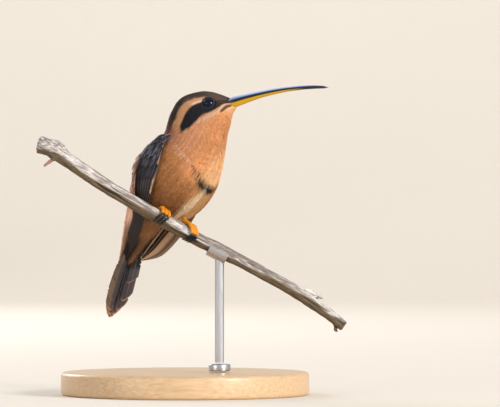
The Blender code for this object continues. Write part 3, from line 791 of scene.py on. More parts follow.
def make_coat(name, start, end, length_start, length_end, locks, material, seed):
    """One length of the body's plumage as feathers of separate locks, each lock a closed spike."""
    rng = np.random.default_rng(seed)
    roots = feather_roots(start, end, length_start, length_end, rng)
    stops, places, kept = lock_stops(roots, locks, rng)
    feather = np.repeat(np.arange(len(roots)), locks)[kept]
    station, angle, length = roots[feather].T

    outward = unit(stops[:, 1] - body_frame(places[1][0])[0])
    across = unit(np.cross(outward, stops[:, 2] - stops[:, 0]))
    width = LOCK_WIDTH * (FEATHER_WIDTH * length) / locks
    points = lock_points(stops, across, outward, width, LOCK_HEIGHT * width)
    colours = lock_colours(stops, places, feather, len(roots), rng)
    fan = np.tile(np.linspace(-1, 1, locks), len(roots))[kept]
    patch = LOCK_PATCH + np.stack((0.4 * fan, 0 * fan), -1)[:, None]
    chart = np.clip(skin_uv(np.minimum(station, LAST_STATION), angle)[:, None] + PATCH * patch, 0, 1)

    on_right = angle % 360 < 180
    for side, picked in (("right", np.flatnonzero(on_right)), ("left", np.flatnonzero(~on_right))):
        faces = LOCK_FACES[None] + LOCK_POINTS * np.arange(len(picked))[:, None, None]
        new_piece(
            f"{name}_{side}", points[picked].reshape(-1, 3), [faces.reshape(-1, 3)], material,
            colours[picked].reshape(-1, 3), chart[picked].reshape(-1, 2), smooth=False,
        )


# ---------------------------------------------------------------- vanes: the feathers of wings and tail

VANE_STOPS = 30
# Half width of a feather's shaft at its root, in millimetres.
SHAFT = 0.07
# How much of a web's width a notch takes, and the share of a web's stops that have none.
NOTCH = 0.22
WHOLE_SHARE = 0.93
# Round a vane's section: share of the web's width (below 0 the leading web), shaft widths to the side,
# and height in vane depths above (or, below 0, under) its middle.
VANE_SECTION = np.array((
    (-1.0, 0, 0.0), (-0.85, 0, 0.45), (-0.5, 0, 0.5), (-0.12, -1, 0.5), (0, 0, 1.5), (0.12, 1, 0.5),
    (0.45, 0, 0.5), (0.8, 0, 0.45), (1.0, 0, 0.0), (0.8, 0, -0.45), (0.45, 0, -0.5), (0.12, 1, -0.5),
    (0, 0, -1.3), (-0.12, -1, -0.5), (-0.5, 0, -0.5), (-0.85, 0, -0.45),
))


def vane(place, length, webs, depth, paint, rng, tip=0.2, base=0.35, ragged=0.05):
    """One feather as a closed thin shell: its points, colours, map for baking and map of its barbs.

    place(t, across, lift) gives points in millimetres, t from root to tip. webs are the widths of the
    leading and the trailing web. paint(t, web, top) gives colours, web from -1 to 1 across, top on the
    upper side. tip is how much of the length is rounded, and base how wide the root is.
    """
    t = np.linspace(0, 1, VANE_STOPS) ** 0.92
    rise = base + (1 - base) * soft_step(t, 0, 0.3)
    rounding = np.sqrt(np.clip(1 - (np.clip(t - 1 + tip, 0, None) / tip) ** 2, 0.0, 1))
    rough = 1 - ragged * rng.random((VANE_STOPS, 2)) - NOTCH * (rng.random((VANE_STOPS, 2)) > WHOLE_SHARE)
    share, shaft, height = VANE_SECTION.T
    web = np.where(share < 0, webs[0] * rough[:, :1], webs[1] * rough[:, 1:]) * (rise * rounding)[:, None]
    across = share * web + shaft * SHAFT * (1 - 0.6 * t)[:, None]
    lift = height * depth * (1 - 0.5 * t)[:, None]
    stops = np.broadcast_to(t[:, None], across.shape)
    points = place(stops, across, lift).reshape(-1, 3)
    shares = np.broadcast_to(share, across.shape)
    colours = paint(stops, shares, np.broadcast_to(height, across.shape) >= 0).reshape(-1, 3)
    measure = np.stack((across, stops * length), -1).reshape(-1, 2)
    chart = np.stack((0.5 + 0.45 * shares, 0.02 + 0.46 * stops + 0.5 * (height < 0)), -1).reshape(-1, 2)
    return points, colours, chart, measure


def join_vanes(name, vanes, material, replaces=()):
    """One piece of several vanes, each with its own column of the map for baking."""
    ring = len(VANE_SECTION)
    half = ring // 2
    quads = grid_faces(VANE_STOPS, ring, closed=True)[:, ::-1]
    caps = np.array([(i, i + 1, ring - i - 1, ring - i) for i in range(1, half - 1)])
    wedges = np.array(((0, 1, ring - 1), (half, half + 1, half - 1)))
    last_ring = (VANE_STOPS - 1) * ring
    caps, wedges = (np.concatenate((part, (part + last_ring)[:, ::-1])) for part in (caps, wedges))
    count = len(vanes)
    starts = VANE_STOPS * ring * np.arange(count)[:, None, None]
    faces = [(part[None] + starts).reshape(-1, part.shape[1]) for part in (quads, caps, wedges)]
    charts = [(chart + (k, 0)) / (count, 1) for k, (_, _, chart, _) in enumerate(vanes)]
    points, colours, _, measures = (np.concatenate(part) for part in zip(*vanes))
    return new_piece(
        name, points, faces, material, colours, np.concatenate(charts), 0.1 * measures,
        replaces=replaces,
    )


WING_BLACK = srgb(24, 21, 25)
WING_BROWN = srgb(44, 36, 35)
WING_EDGE = srgb(116, 98, 90)
# Partly the coverts' own violet colour, partly a painted highlight of sheen.
WING_VIOLET_AND_SHEEN = srgb(112, 113, 133)
WING_OLIVE_AND_SHEEN = srgb(84, 86, 58)
WING_UNDER = srgb(192, 153, 118)
WING_UNDER_DARK = srgb(66, 50, 38)
WING_BUFF = srgb(206, 160, 128)
SHAFT_PALE = srgb(150, 132, 122)
# Breadth of a folded wing in millimetres, which turns widths of webs into shares of the wing.
TYPICAL_CHORD = 4.0


def wing_at(name, u, v, lift):
    """Points of a folded wing: u from wrist to tip, v from leading to trailing edge, lift outwards."""
    edges = WINGS[name]
    last = len(edges) - 1
    row = smooth_rows(edges, u * last)
    ahead = smooth_rows(edges, np.minimum(u + 0.02, 1) * last)
    ahead = ahead - smooth_rows(edges, np.maximum(u - 0.02, 0) * last)
    lead, chord = row[..., :3], row[..., 3:] - row[..., :3]
    outward = unit(np.cross(ahead[..., :3] + ahead[..., 3:], chord)) * WING_SIDES[name]
    place = np.clip(v, -0.06, 1.06)
    bulge = WING_CAMBER * 4 * np.clip(place * (1 - place), 0, None) * np.sqrt(np.clip(1 - u, 0, 1))
    return lead + chord * place[..., None] + outward * (bulge + lift)[..., None]


def wing_length(name):
    """Length of a folded wing's leading edge in millimetres."""
    edge = WINGS[name][:, :3]
    return np.linalg.norm(np.diff(edge, axis=0), axis=1).sum()


def wing_feather(name, u_range, v_range, lifts, webs, paint, rng, depth=0.07, **shape):
    """A feather along a folded wing. Its webs are shares of the wing's chord."""

    def place(t, across, lift):
        u = u_range[0] + (u_range[1] - u_range[0]) * t
        v = v_range[0] + (v_range[1] - v_range[0]) * t + across / TYPICAL_CHORD
        return wing_at(name, u, v, lifts[0] + (lifts[1] - lifts[0]) * np.sqrt(t) + lift)

    length = wing_length(name) * (u_range[1] - u_range[0])
    return vane(place, length, TYPICAL_CHORD * np.array(webs), depth, paint, rng, **shape)


def flight_paint(tone, edge, under, lead=0.0):
    """Colours of a flight feather: black above with a thin pale rim, and brown with a paler web below."""

    def paint(t, web, top):
        above = blended(WING_BLACK, WING_BROWN, soft_step(web, 0.1, 0.9))
        # A painted violet sheen on the base of the leading web.
        above = blended(above, WING_VIOLET_AND_SHEEN, 0.2 * soft_step(web, -0.3, -0.8) * soft_step(t, 0.6, 0.2))
        above = blended(above, WING_EDGE, edge * soft_step(np.abs(web), 0.8, 1.0))
        pale = np.where(web < 0, lead, under * soft_step(web, 0.0, 0.5))
        below = blended(WING_UNDER_DARK, WING_UNDER, pale)
        below = blended(below, WING_BUFF, 0.7 * soft_step(np.abs(web), 0.86, 1.0))
        colour = np.where(top[..., None], above, below) * tone
        return blended(colour, SHAFT_PALE, 0.25 * (np.abs(web) < 0.01))

    return paint


def covert_paint(rng, painted_sheen):
    """Colours of a wing covert: dark, with a violet or at times olive sheen, partly painted highlight, on its
    exposed end and its rim.
    """
    sheen_colour = blended(WING_VIOLET_AND_SHEEN, WING_OLIVE_AND_SHEEN, rng.random() > 0.8)
    amount = painted_sheen * rng.uniform(0.1, 1.0) ** 2
    tone = rng.uniform(0.75, 1.2)

    def paint(t, web, top):
        # Painted sheen: violet or olive highlights on the exposed end and the rim.
        colour = blended(WING_BLACK, sheen_colour, amount * soft_step(t, 0.3, 0.85) * soft_step(web, 0.9, -0.4))
        rim = soft_step(np.abs(web), 0.78, 1.0) * soft_step(t, 0.4, 0.8)
        colour = blended(colour, WING_VIOLET_AND_SHEEN, 0.5 * painted_sheen * rim)
        return colour * tone

    return paint


def even_paint(colour, rim=None):
    """One colour all over a feather, with a rim of another colour if one is given."""

    def paint(t, web, top):
        base = np.broadcast_to(colour, (*t.shape, 3))
        return base if rim is None else blended(base, rim, 0.8 * soft_step(np.abs(web), 0.6, 1.0))

    return paint


def mantle_paint(rng):
    """Colours of a shoulder feather: brown, darker at its root and paler at its edge."""
    tone = rng.uniform(0.9, 1.3)

    def paint(t, web, top):
        colour = blended(0.6 * MANTLE, MANTLE, soft_step(t, 0.2, 0.85)) * tone
        fringe = soft_step(np.abs(web), 0.5, 1.0) * soft_step(t, 0.3, 0.8)
        return blended(colour, MANTLE_FRINGE, 0.6 * fringe)

    return paint


PRIMARIES = 8
# How much shorter the innermost primary's reach is, as a share of the wing.
PRIMARY_STEPS = {"right": 0.13, "left": 0.07}
# Which primaries are pale under their trailing web.
PALE_PRIMARIES = (0, 2, 3, 5, 6)
SECONDARIES = 5


def flight_vanes(name, rng):
    """The wing's lining, its primaries and its secondaries, from the body outwards."""

    def lining(t, across, lift):
        return wing_at(name, 0.02 + 0.5 * t, 0.5 + 0.46 * across, lift - 0.4)

    vanes = [vane(lining, 1, (1, 1), 0.5, even_paint(WING_BROWN), rng, tip=0.3, base=0.1, ragged=0)]
    for k in range(PRIMARIES):
        rank = k / (PRIMARIES - 1)
        height = -0.3 + 0.09 * k
        edge, lead = (0.7, 0.4) if k == 0 else (0.18, 0.0)
        under = 0.9 if k in PALE_PRIMARIES else 0.1
        paint = flight_paint(rng.uniform(0.85, 1.15), edge, under, lead)
        vanes.append(wing_feather(
            name, (0.1, 1.0 - PRIMARY_STEPS[name] * rank), (0.06 + 0.78 * rank, 0.12 + 0.80 * rank),
            (height, height), (0.1, 0.32), paint, rng, tip=0.14,
        ))
    for k in range(SECONDARIES):
        rank = k / (SECONDARIES - 1)
        vanes.append(wing_feather(
            name, (0.06, 0.62 - 0.24 * rank), (0.62 + 0.28 * rank, 0.8 + 0.14 * rank),
            (0.25 + 0.08 * k, 0.35 + 0.07 * k), (0.12, 0.3),
            flight_paint(rng.uniform(0.9, 1.2), 0.3, 0.5), rng, tip=0.25,
        ))
    return vanes


# Rows of coverts from the flight feathers up to the wrist: roots and tips along the wing, how many, and how
# much painted sheen.
COVERT_ROWS = (
    (0.06, 0.42, 9, 0.8), (0.05, 0.30, 9, 1.0), (0.04, 0.22, 8, 0.9), (0.01, 0.16, 8, 0.7),
    (-0.01, 0.115, 7, 0.5), (-0.025, 0.075, 6, 0.35), (-0.035, 0.04, 5, 0.3),
)
# How much farther down the wing a row starts at the wing's two edges, which rounds the wrist.
WRIST_ROUNDING = 0.02
# Small pale feathers along the leading edge.
MARGINALS = 15


def covert_vanes(name, rng):
    """The wing's coverts, row over row, and the small feathers of its leading edge."""
    vanes = []
    for level, (root, end, count, painted_sheen) in enumerate(COVERT_ROWS):
        for k in range(count):
            v = (k + 0.5 * (level % 2) + 0.25) / count
            slip = 0.02 * rng.uniform(-1, 1) - 0.05 * v * (end - root) / 0.3
            low = 0.26 + 0.08 * level + 0.02 * (k % 2)
            start = root + WRIST_ROUNDING * (2 * v - 1) ** 2
            vanes.append(wing_feather(
                name, (start, end + slip), (v, v), (low - 0.9, low + 0.12), (0.85 / count, 0.85 / count),
                covert_paint(rng, painted_sheen), rng, depth=0.05, tip=0.45, base=0.15, ragged=0.12,
            ))
    for k in range(MARGINALS):
        root = 0.02 + 0.5 * k / MARGINALS
        paint = even_paint(WING_BUFF * rng.uniform(0.6, 1.1), WING_BROWN)
        vanes.append(wing_feather(
            name, (root, root + 0.075), (0.0, -0.02), (0.05, 0.12), (0.05, 0.07), paint, rng,
            depth=0.04, tip=0.5, ragged=0.1,
        ))
    return vanes


def nearest_on_body(point):
    """Station and angle of the place on the body nearest to a point."""
    stations, angles = np.meshgrid(np.linspace(4, 12, 161), np.arange(0, 360, 2.0), indexing="ij")
    nearest = np.argmin(((body_at(stations, angles) - point) ** 2).sum(-1))
    return stations.ravel()[nearest], angles.ravel()[nearest]


def shoulder_feather(root, tip, outward, arch, webs, paint, rng):
    """A body feather that arches from its root on the body to its tip on the wing."""
    middle = (root + tip) / 2 + arch * outward
    side = unit(np.cross(tip - root, outward))

    def place(t, across, lift):
        t = t[..., None]
        spine = (1 - t) ** 2 * root + 2 * t * (1 - t) * middle + t**2 * tip
        return spine + side * across[..., None] + outward * (lift - 0.1 * across**2)[..., None]

    length = np.linalg.norm(tip - root)
    return vane(place, length, webs, 0.05, paint, rng, tip=0.5, base=0.3, ragged=0.12)


SCAPULARS = 17
# Rows of shoulder feathers: how far behind the wing they root, in millimetres, and how far across it, as a
# share of its breadth, they end.
SCAPULAR_ROWS = ((2.6, 0.9), (1.8, 0.8), (1.1, 0.7))
WRIST_FEATHERS = 7
# Rows of wrist feathers: where along the wing they start and end.
WRIST_ROWS = ((0.0, 0.075), (-0.02, 0.04))
# A pale lilac painted highlight on the feathers over the wrist.
WRIST_PAINTED_LILAC_SHEEN = srgb(178, 168, 190)


def wrist_vanes(name, rng):
    """Feathers of the neck's side that lie over the wing's wrist, a painted lilac sheen in front and brown
    behind.
    """
    vanes = []
    for row, (start, end) in enumerate(WRIST_ROWS):
        for k in range(WRIST_FEATHERS):
            v = 1.1 * (k + 0.5 * row) / WRIST_FEATHERS
            edge = wing_at(name, start, v, 0.2)
            station, angle = nearest_on_body(edge + np.array((0.0, 0.0, 0.7 + 0.4 * row)))
            root = body_at(station, angle, -0.7)
            tip = wing_at(name, end, v, 0.7 + 0.12 * row)
            outward = unit(edge - body_frame(station)[0])
            shade = blended(WRIST_PAINTED_LILAC_SHEEN, MANTLE, soft_step(v, 0.1, 0.6)) * rng.uniform(0.7, 1.05)
            paint = even_paint(shade, blended(WRIST_PAINTED_LILAC_SHEEN, MANTLE_FRINGE, soft_step(v, 0.3, 0.8)))
            vanes.append(shoulder_feather(root, tip, outward, 0.5, (0.42, 0.42), paint, rng))
    return vanes


def scapular_vanes(name, rng):
    """Feathers of the shoulder, from the mantle over the wing's rear edge."""
    vanes = []
    for row, (away, over) in enumerate(SCAPULAR_ROWS):
        for k in range(SCAPULARS):
            u = 0.4 * (k + 0.35 * row) / SCAPULARS + 0.08
            rear, middle_of_wing = (wing_at(name, u, v, 0.3) for v in (1.0, 0.5))
            station, angle = nearest_on_body(rear + away * unit(rear - middle_of_wing))
            root = body_at(station, angle, -0.2)
            reach = over + 0.24 * soft_step(u, 0.3, 0.05)
            tip = wing_at(name, u + rng.uniform(0.14, 0.2), reach, 1.2 + 0.1 * row)
            outward = unit(rear - body_frame(station)[0])
            width = rng.uniform(0.38, 0.5)
            vanes.append(shoulder_feather(root, tip, outward, 1.0, (width, width), mantle_paint(rng), rng))
    return vanes


def make_wing(name, material, seed):
    rng = np.random.default_rng(seed)
    for kind, make_vanes, node in (
        ("flight_feathers", flight_vanes, "wing_primaries"), ("coverts", covert_vanes, "wing_coverts"),
    ):
        vanes = make_vanes(name, rng)
        join_vanes(f"{kind}_{name}", vanes, material, (f"{node}_{name}",))
    vanes = scapular_vanes(name, rng) + wrist_vanes(name, rng)
    join_vanes(f"scapulars_{name}", vanes, material)


# ---------------------------------------------------------------- tail

TAIL_SLATE = srgb(62, 58, 64)
TAIL_GREY = srgb(74, 70, 76)
TAIL_BROWN = srgb(104, 86, 72)
TAIL_BUFF = srgb(214, 158, 118)
TAIL_FRINGE = srgb(150, 112, 90)

# Tail feathers from the middle pair out: length as a share of the tail's, and in millimetres their shift
# from the middle, half width and height, and how buff the tip is.
TAIL_PAIRS = (
    (1.0, 0.5, 1.5, 0.45, 1.0),
    (0.955, 1.0, 1.55, 0.22, 0.9),
    (0.885, 1.6, 1.55, 0.0, 0.7),
    (0.74, 2.1, 1.55, -0.22, 0.75),
    (0.46, 2.2, 1.5, -0.42, 0.75),
)
# The tail's halves: their side, how far they spread half way down, the colour of the outer webs and where
# across the web it starts, how much buff the tips of the outer feathers show, and how much painted shade
# darkens the roots.
TAIL_SIDES = {
    "right": (1, 1.3, TAIL_BROWN, -0.6, 0.25, 0.25),
    "left": (-1, 1.0, TAIL_GREY, 0.1, 1, 0.9),
}
# Feathers shorter than this share of the tail are outer ones.
OUTER_SHARE = 0.8
# How far a tail feather's tip leans back towards its outer edge, in millimetres a millimetre.
TAIL_SLANT = 0.8
TAIL_LENGTH = np.linalg.norm(TAIL_TIP - TAIL_ROOT)
TAIL_AHEAD = unit(TAIL_TIP - TAIL_ROOT)
TAIL_RIGHTWARD = headed(TAIL_HEADING)[1]
TAIL_DORSAL = unit(np.cross(TAIL_AHEAD, TAIL_RIGHTWARD))


def tail_paint(tone, outer_colour, outer_from, tip_share, root_shade, length):
    """Colours of a tail feather: slate with a thin buff rim and tip, its outer web lighter, and painted shade
    on its root.
    """

    def paint(t, web, top):
        colour = blended(TAIL_SLATE, outer_colour, soft_step(web, outer_from, outer_from + 0.7)) * tone
        colour = blended(colour, TAIL_FRINGE, 0.55 * soft_step(web, 0.88, 1.0))
        # Painted shade on the feather's root, under the tail coverts.
        colour = blended(colour, BAND, root_shade * soft_step(t * length, 4.4, 2.8))
        rim = soft_step(np.abs(web), 0.75, 1.0) * soft_step(t, 0.8, 0.93)
        colour = blended(colour, TAIL_BUFF, 0.6 * tip_share * rim)
        tip = soft_step(t, 0.93, 0.975) * soft_step(np.abs(web) + 5 * (t - 0.9), 0.1, 0.7)
        colour = blended(colour, TAIL_BUFF, tip_share * tip)
        return blended(colour, SHAFT_PALE, 0.2 * (np.abs(web) < 0.01))

    return paint


def tail_place(side, spread, length, shift, half_width, height):
    """The place function of one tail feather in the fan."""

    def place(t, across, lift):
        fan = side * (shift * (0.75 + 0.25 * t) * (1 + (spread - 1) * 4 * t * (1 - t)) + across)
        cup = -0.05 * (fan / 1.5) ** 2
        slanted = length * t - TAIL_SLANT * (across + half_width) * t**4
        rise = height + 0.05 * side + cup + lift
        run = TAIL_AHEAD * slanted[..., None]
        return TAIL_ROOT + run + TAIL_RIGHTWARD * fan[..., None] + TAIL_DORSAL * rise[..., None]

    return place


def make_tail(material):
    rng = np.random.default_rng(TAIL_SEED)
    for name, (side, spread, outer_colour, outer_from, outer_tips, root_shade) in TAIL_SIDES.items():
        vanes = []
        for share, shift, half_width, height, tip_share in TAIL_PAIRS:
            length = TAIL_LENGTH * share
            tip_share = tip_share * (outer_tips if share < OUTER_SHARE else 1)
            tone = rng.uniform(0.85, 1.1)
            vanes.append(vane(
                tail_place(side, spread, length, shift, half_width, height), length, (half_width, half_width),
                0.08, tail_paint(tone, outer_colour, outer_from, tip_share, root_shade, length), rng,
                base=0.6, ragged=0.02,
            ))
        join_vanes(f"tail_feathers_{name}", vanes, material, (f"tail_{name}",))
    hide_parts("tail_middle")


# ---------------------------------------------------------------- bill and eyes

BILL_STOPS = 90
BILL_SIDES = 20
BILL_BLACK = srgb(20, 20, 26)
# A painted reflection of the sky on the upper mandible's ridge.
BILL_SKY_REFLECTION = srgb(148, 174, 232)
BILL_YELLOW = srgb(178, 136, 0)
BILL_ORANGE = srgb(168, 96, 8)


def bill_line(t):
    """Points of the line where the mandibles meet, in millimetres, and the way the bill runs there."""
    weights = np.stack(((1 - t) ** 3, 3 * t * (1 - t) ** 2, 3 * t**2 * (1 - t), t**3), -1)
    x, z = (weights @ np.array(BILL_LINE)).T
    slope = math.tan(math.radians(BILL_HEADING))
    points = np.stack((x, BILL_Y - (x - BILL_LINE[0][0]) * slope, z), -1)
    return points, unit(np.gradient(points, axis=0))


def make_mandible(name, material, paint, shape, column, upward, end):
    """One mandible: a half-round horn from the gape to the tip.

    paint(t, turn) colours it and shape(t, turn) widens or hollows its section, t along the bill and
    turn round it. column is that of its heights in BILL_SIZES, upward is 1 or -1, and end is its tip's t.
    """
    t = np.linspace(0, end, BILL_STOPS)
    middle, ahead = bill_line(t)
    _, rightward = headed(BILL_HEADING)
    up = unit(np.cross(rightward, ahead)) * upward
    height, half_width = (np.interp(t, BILL_SIZES[:, 0], BILL_SIZES[:, k]) for k in (column, 3))
    turns = np.concatenate((np.linspace(0, math.pi, BILL_SIDES), np.linspace(math.pi, 0, 6)[1:-1]))
    arched = np.arange(len(turns)) < BILL_SIDES
    stop, turn = np.meshgrid(t, turns, indexing="ij")
    grown = shape(stop, turn)
    # The flat inner face is a little narrower than the arch, and lies clear of the other mandible's.
    side = (half_width[:, None] * grown) * np.cos(turn) * np.where(arched, 1, 0.97)
    rise = 0.01 + np.where(arched, (height[:, None] * grown) * np.sin(turn), 0.0)
    points = middle[:, None] + rightward * side[..., None] + up[:, None] * rise[..., None]
    colours = paint(stop, turn)
    points, colours = (
        np.append(values.reshape(-1, 3), values[[0, -1]].mean(1), axis=0) for values in (points, colours)
    )
    faces = [grid_faces(BILL_STOPS, len(turns), closed=True), *end_fans(BILL_STOPS, len(turns))]
    tidy_normals(new_piece(
        name, points, faces, material, colours, replaces=(name.replace("horn", "bill"),)
    ))


def upper_shape(t, turn):
    """The nostril: a groove low on each side of the base, under a swollen flap."""
    beside = np.abs(np.cos(turn))
    low = np.sin(turn)
    groove = soft_step(t, 0.015, 0.05) * soft_step(t, 0.17, 0.11) * np.exp(-(((low - 0.38) / 0.16) ** 2))
    flap = soft_step(t, 0.0, 0.04) * soft_step(t, 0.16, 0.08) * np.exp(-(((low - 0.72) / 0.18) ** 2))
    return 1 - 0.2 * groove * beside + 0.07 * flap * beside


def upper_paint(t, turn):
    """Black, with a painted blue reflection along the ridge and yellow at the gape."""
    high = np.sin(turn)
    colour = blended(BILL_BLACK, BILL_SKY_REFLECTION, 0.95 * soft_step(high, 0.5, 0.8) * soft_step(t, 1.0, 0.65))
    gape = soft_step(t, 0.09, 0.03) * soft_step(high, 0.22, 0.05)
    return blended(colour, BILL_YELLOW, gape)


def lower_shape(t, turn):
    """A shallow groove along the base of each side."""
    return 1 - 0.05 * np.exp(-(((np.sin(turn) - 0.5) / 0.2) ** 2)) * soft_step(t, 0.4, 0.1)


def lower_paint(t, turn):
    """Yellow, more orange below, and black towards the tip."""
    colour = blended(BILL_YELLOW, BILL_ORANGE, 0.5 * soft_step(np.sin(turn), 0.75, 1.0))
    return blended(colour, BILL_BLACK, soft_step(t, 0.58, 0.8))


EYE_RINGS = 47
EYE_STEPS = 64
LID_SIDES = 12
LID_STEPS = 96
# The lids' ring: its radius in eyeball radii and how much less it is above and below, its thickness in
# millimetres, and the number and height of its beads.
LID_RING = 0.86
LID_SQUASH = 0.05
LID_THICKNESS = 0.17
LID_BEADS = 24
LID_BEAD_HEIGHT = 0.22


def make_eye(name, material, lid_material):
    """A smooth eyeball in place of the faceted one, in a ring of bare, beaded lids."""
    centre, radius, outward = eye_axis(name)
    tilts = np.linspace(0, math.pi, EYE_RINGS + 2)[1:-1]
    tilt, turn = np.meshgrid(tilts, even_turns(EYE_STEPS), indexing="ij")
    ball = np.stack((np.sin(tilt) * np.cos(turn), np.sin(tilt) * np.sin(turn), np.cos(tilt)), -1)
    points = centre + radius * np.vstack((ball.reshape(-1, 3), ((0, 0, 1), (0, 0, -1))))
    faces = [grid_faces(EYE_RINGS, EYE_STEPS, closed=True), *end_fans(EYE_RINGS, EYE_STEPS)]
    tidy_normals(new_piece(
        f"eyeball_{name}", points, faces, material, replaces=(f"eye_{name}",)
    ))

    tall = unit(np.array((0, 0, 1.0)) - outward * outward[2])
    wide = np.cross(tall, outward)
    turn, roll = np.meshgrid(even_turns(LID_STEPS), even_turns(LID_SIDES), indexing="ij")
    ring = radius * (LID_RING - LID_SQUASH * np.sin(turn) ** 2)
    rim = LID_THICKNESS * (1 + LID_BEAD_HEIGHT * np.cos(turn * LID_BEADS))
    sink = np.sqrt(radius**2 - ring**2) + 0.02
    way = wide * np.cos(turn)[..., None] + tall * np.sin(turn)[..., None]
    aside = way * (ring + 0.12 + rim * np.cos(roll))[..., None]
    lids = centre + aside + outward * (sink - 0.06 + 0.8 * rim * np.sin(roll))[..., None]
    quads = grid_faces(LID_STEPS + 1, LID_SIDES, closed=True) % (LID_STEPS * LID_SIDES)
    tidy_normals(new_piece(f"eyelids_{name}", lids, [quads], lid_material))


# ---------------------------------------------------------------- pieces refined from the solids

# The solids are meshed again in millimetres.
REMESH_UNIT = 1000


def vertex_rows(mesh, key):
    """One row of three numbers for each vertex of a mesh."""
    values = np.empty(len(mesh.vertices) * 3, np.float32)
    mesh.vertices.foreach_get(key, values)
    return values.reshape(-1, 3).astype(float)


def finely_meshed(source, voxel, smoothing):
    """A mesh of small even faces round a coarse one, smoothed."""
    welder = bmesh.new()
    welder.from_mesh(source)
    bmesh.ops.scale(welder, vec=(REMESH_UNIT,) * 3, verts=welder.verts)
    bmesh.ops.remove_doubles(welder, verts=welder.verts, dist=0.001)
    mesh = bpy.data.meshes.new("coarse")
    welder.to_mesh(mesh)
    welder.free()
    coarse = bpy.data.objects.new("coarse", mesh)
    bpy.context.scene.collection.objects.link(coarse)
    remesh = coarse.modifiers.new("remesh", "REMESH")
    remesh.mode = "VOXEL"
    remesh.voxel_size = voxel
    smooth = coarse.modifiers.new("smooth", "SMOOTH")
    smooth.iterations = smoothing
    smooth.factor = 0.5
    fine = bpy.data.meshes.new_from_object(coarse.evaluated_get(bpy.context.evaluated_depsgraph_get()))
    bpy.data.objects.remove(coarse)
    bpy.data.meshes.remove(mesh)
    return fine


def refined(node, name, material, reshape, voxel, smoothing):
    """A fine copy of a solid. reshape(points) says how far its points move outwards, and their colours.

    voxel is the size of its faces in millimetres, and smoothing how often they are smoothed.
    """
    fine = finely_meshed(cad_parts[node].data, voxel, smoothing)
    points, normals = (vertex_rows(fine, key) for key in ("co", "normal"))
    moved, colours = reshape(points)
    points = points + normals * moved[:, None]
    faces = [np.array([f.vertices[:] for f in fine.polygons if len(f.vertices) == n]) for n in (4, 3)]
    bpy.data.meshes.remove(fine)
    new_piece(name, points, [f for f in faces if len(f)], material, colours, replaces=(node,))


BRANCH_BINS = 60
WOOD_PALE = srgb(206, 199, 195)
WOOD_GREY = srgb(124, 112, 104)
WOOD_DARK_AND_SHADE = srgb(100, 82, 58)
WOOD_CRACK_SHADE = srgb(56, 45, 36)
WOOD_TWIG = srgb(150, 112, 98)


def branch_slope(axis):
    """How steeply the branch's middle line rises along X, on the whole."""
    return np.gradient(axis[:, 2], axis[:, 0]).mean()


def branch_places(points, axis):
    """Angle of points from the branch's top towards -Y, and their distance from its middle line."""
    middle = np.stack([np.interp(points[:, 0], axis[:, 0], axis[:, k]) for k in (1, 2)], 1)
    sideways = points[:, 1] - middle[:, 0]
    upward = (points[:, 2] - middle[:, 1]) * math.cos(math.atan(branch_slope(axis)))
    return np.degrees(np.arctan2(-sideways, upward)), np.hypot(sideways, upward)


def branch_line(points):
    """The branch's middle line as rows of x, y and z, from the points of its surface."""
    bins = np.linspace(points[:, 0].min(), points[:, 0].max(), BRANCH_BINS + 1)
    rows = []
    for low, high in zip(bins, bins[1:]):
        inside = points[(points[:, 0] >= low) & (points[:, 0] < high)]
        if len(inside) > 20:
            rows.append(np.median(inside, axis=0))
    rows = np.array(rows)
    for k in (1, 2):
        padded = np.pad(rows[:, k], 2, mode="edge")
        rows[:, k] = np.convolve(padded, np.full(5, 0.2), mode="valid")
    return rows


def weathered(points):
    """The dry branch's ridges, fibres and cracks, and its colours: bleached and painted light above, dark
    olive and painted shade below and in the cracks.
    """
    axis = branch_line(points)
    angle, distance = branch_places(points, axis)
    run = unit(np.array((1, 0, branch_slope(axis))))
    # Noise at points that are pressed together along the branch is drawn out into fibres.
    pressed = points - 0.9 * (points @ run)[:, None] * run
    fibres = noise(pressed, 0.34, 11)
    fine = noise(pressed, 0.18, 12)
    broad = noise(pressed, 1.1, 15)
    lumps = noise(points, 2.2, 13)
    ridge = np.exp(-(((angle - 98 - 6 * lumps) / 9) ** 2))
    crack = soft_step(-fibres - 0.3 * broad, 0.3, 0.7)
    moved = 0.13 * fibres + 0.06 * fine + 0.08 * lumps + 0.14 * ridge - 0.14 * crack
    # Pale above and dark olive below: partly the wood's own weathering, partly painted light and shade.
    bleached_and_lit = soft_step(np.abs(angle) + 20 * noise(pressed, 0.6, 14), 103, 80)
    grey = blended(WOOD_PALE, WOOD_GREY, soft_step(0.7 * fibres + 0.7 * broad + 0.6 * fine, -0.55, 0.45))
    colour = blended(WOOD_DARK_AND_SHADE * (1 + 0.35 * fine[:, None]), grey, bleached_and_lit)
    # Painted shade in the cracks.
    colour = blended(colour, WOOD_CRACK_SHADE, 0.8 * crack)
    twig = soft_step(distance, 2.25, 2.6)
    colour = blended(colour, WOOD_TWIG, twig)
    return moved * (1 - 0.8 * twig), colour


FOOT_ORANGE = srgb(212, 134, 12)
FOOT_DEEP_AND_CREASE_SHADE = srgb(206, 110, 6)
CLAW_BLACK = srgb(7, 7, 8)
# A toe's scutes are so many degrees long round the branch, and on the leg, farther out than the toes,
# so many millimetres.
SCUTE_DEGREES = 15.0
SCUTE_LENGTH = 0.32
TOE_REACH = 4.0


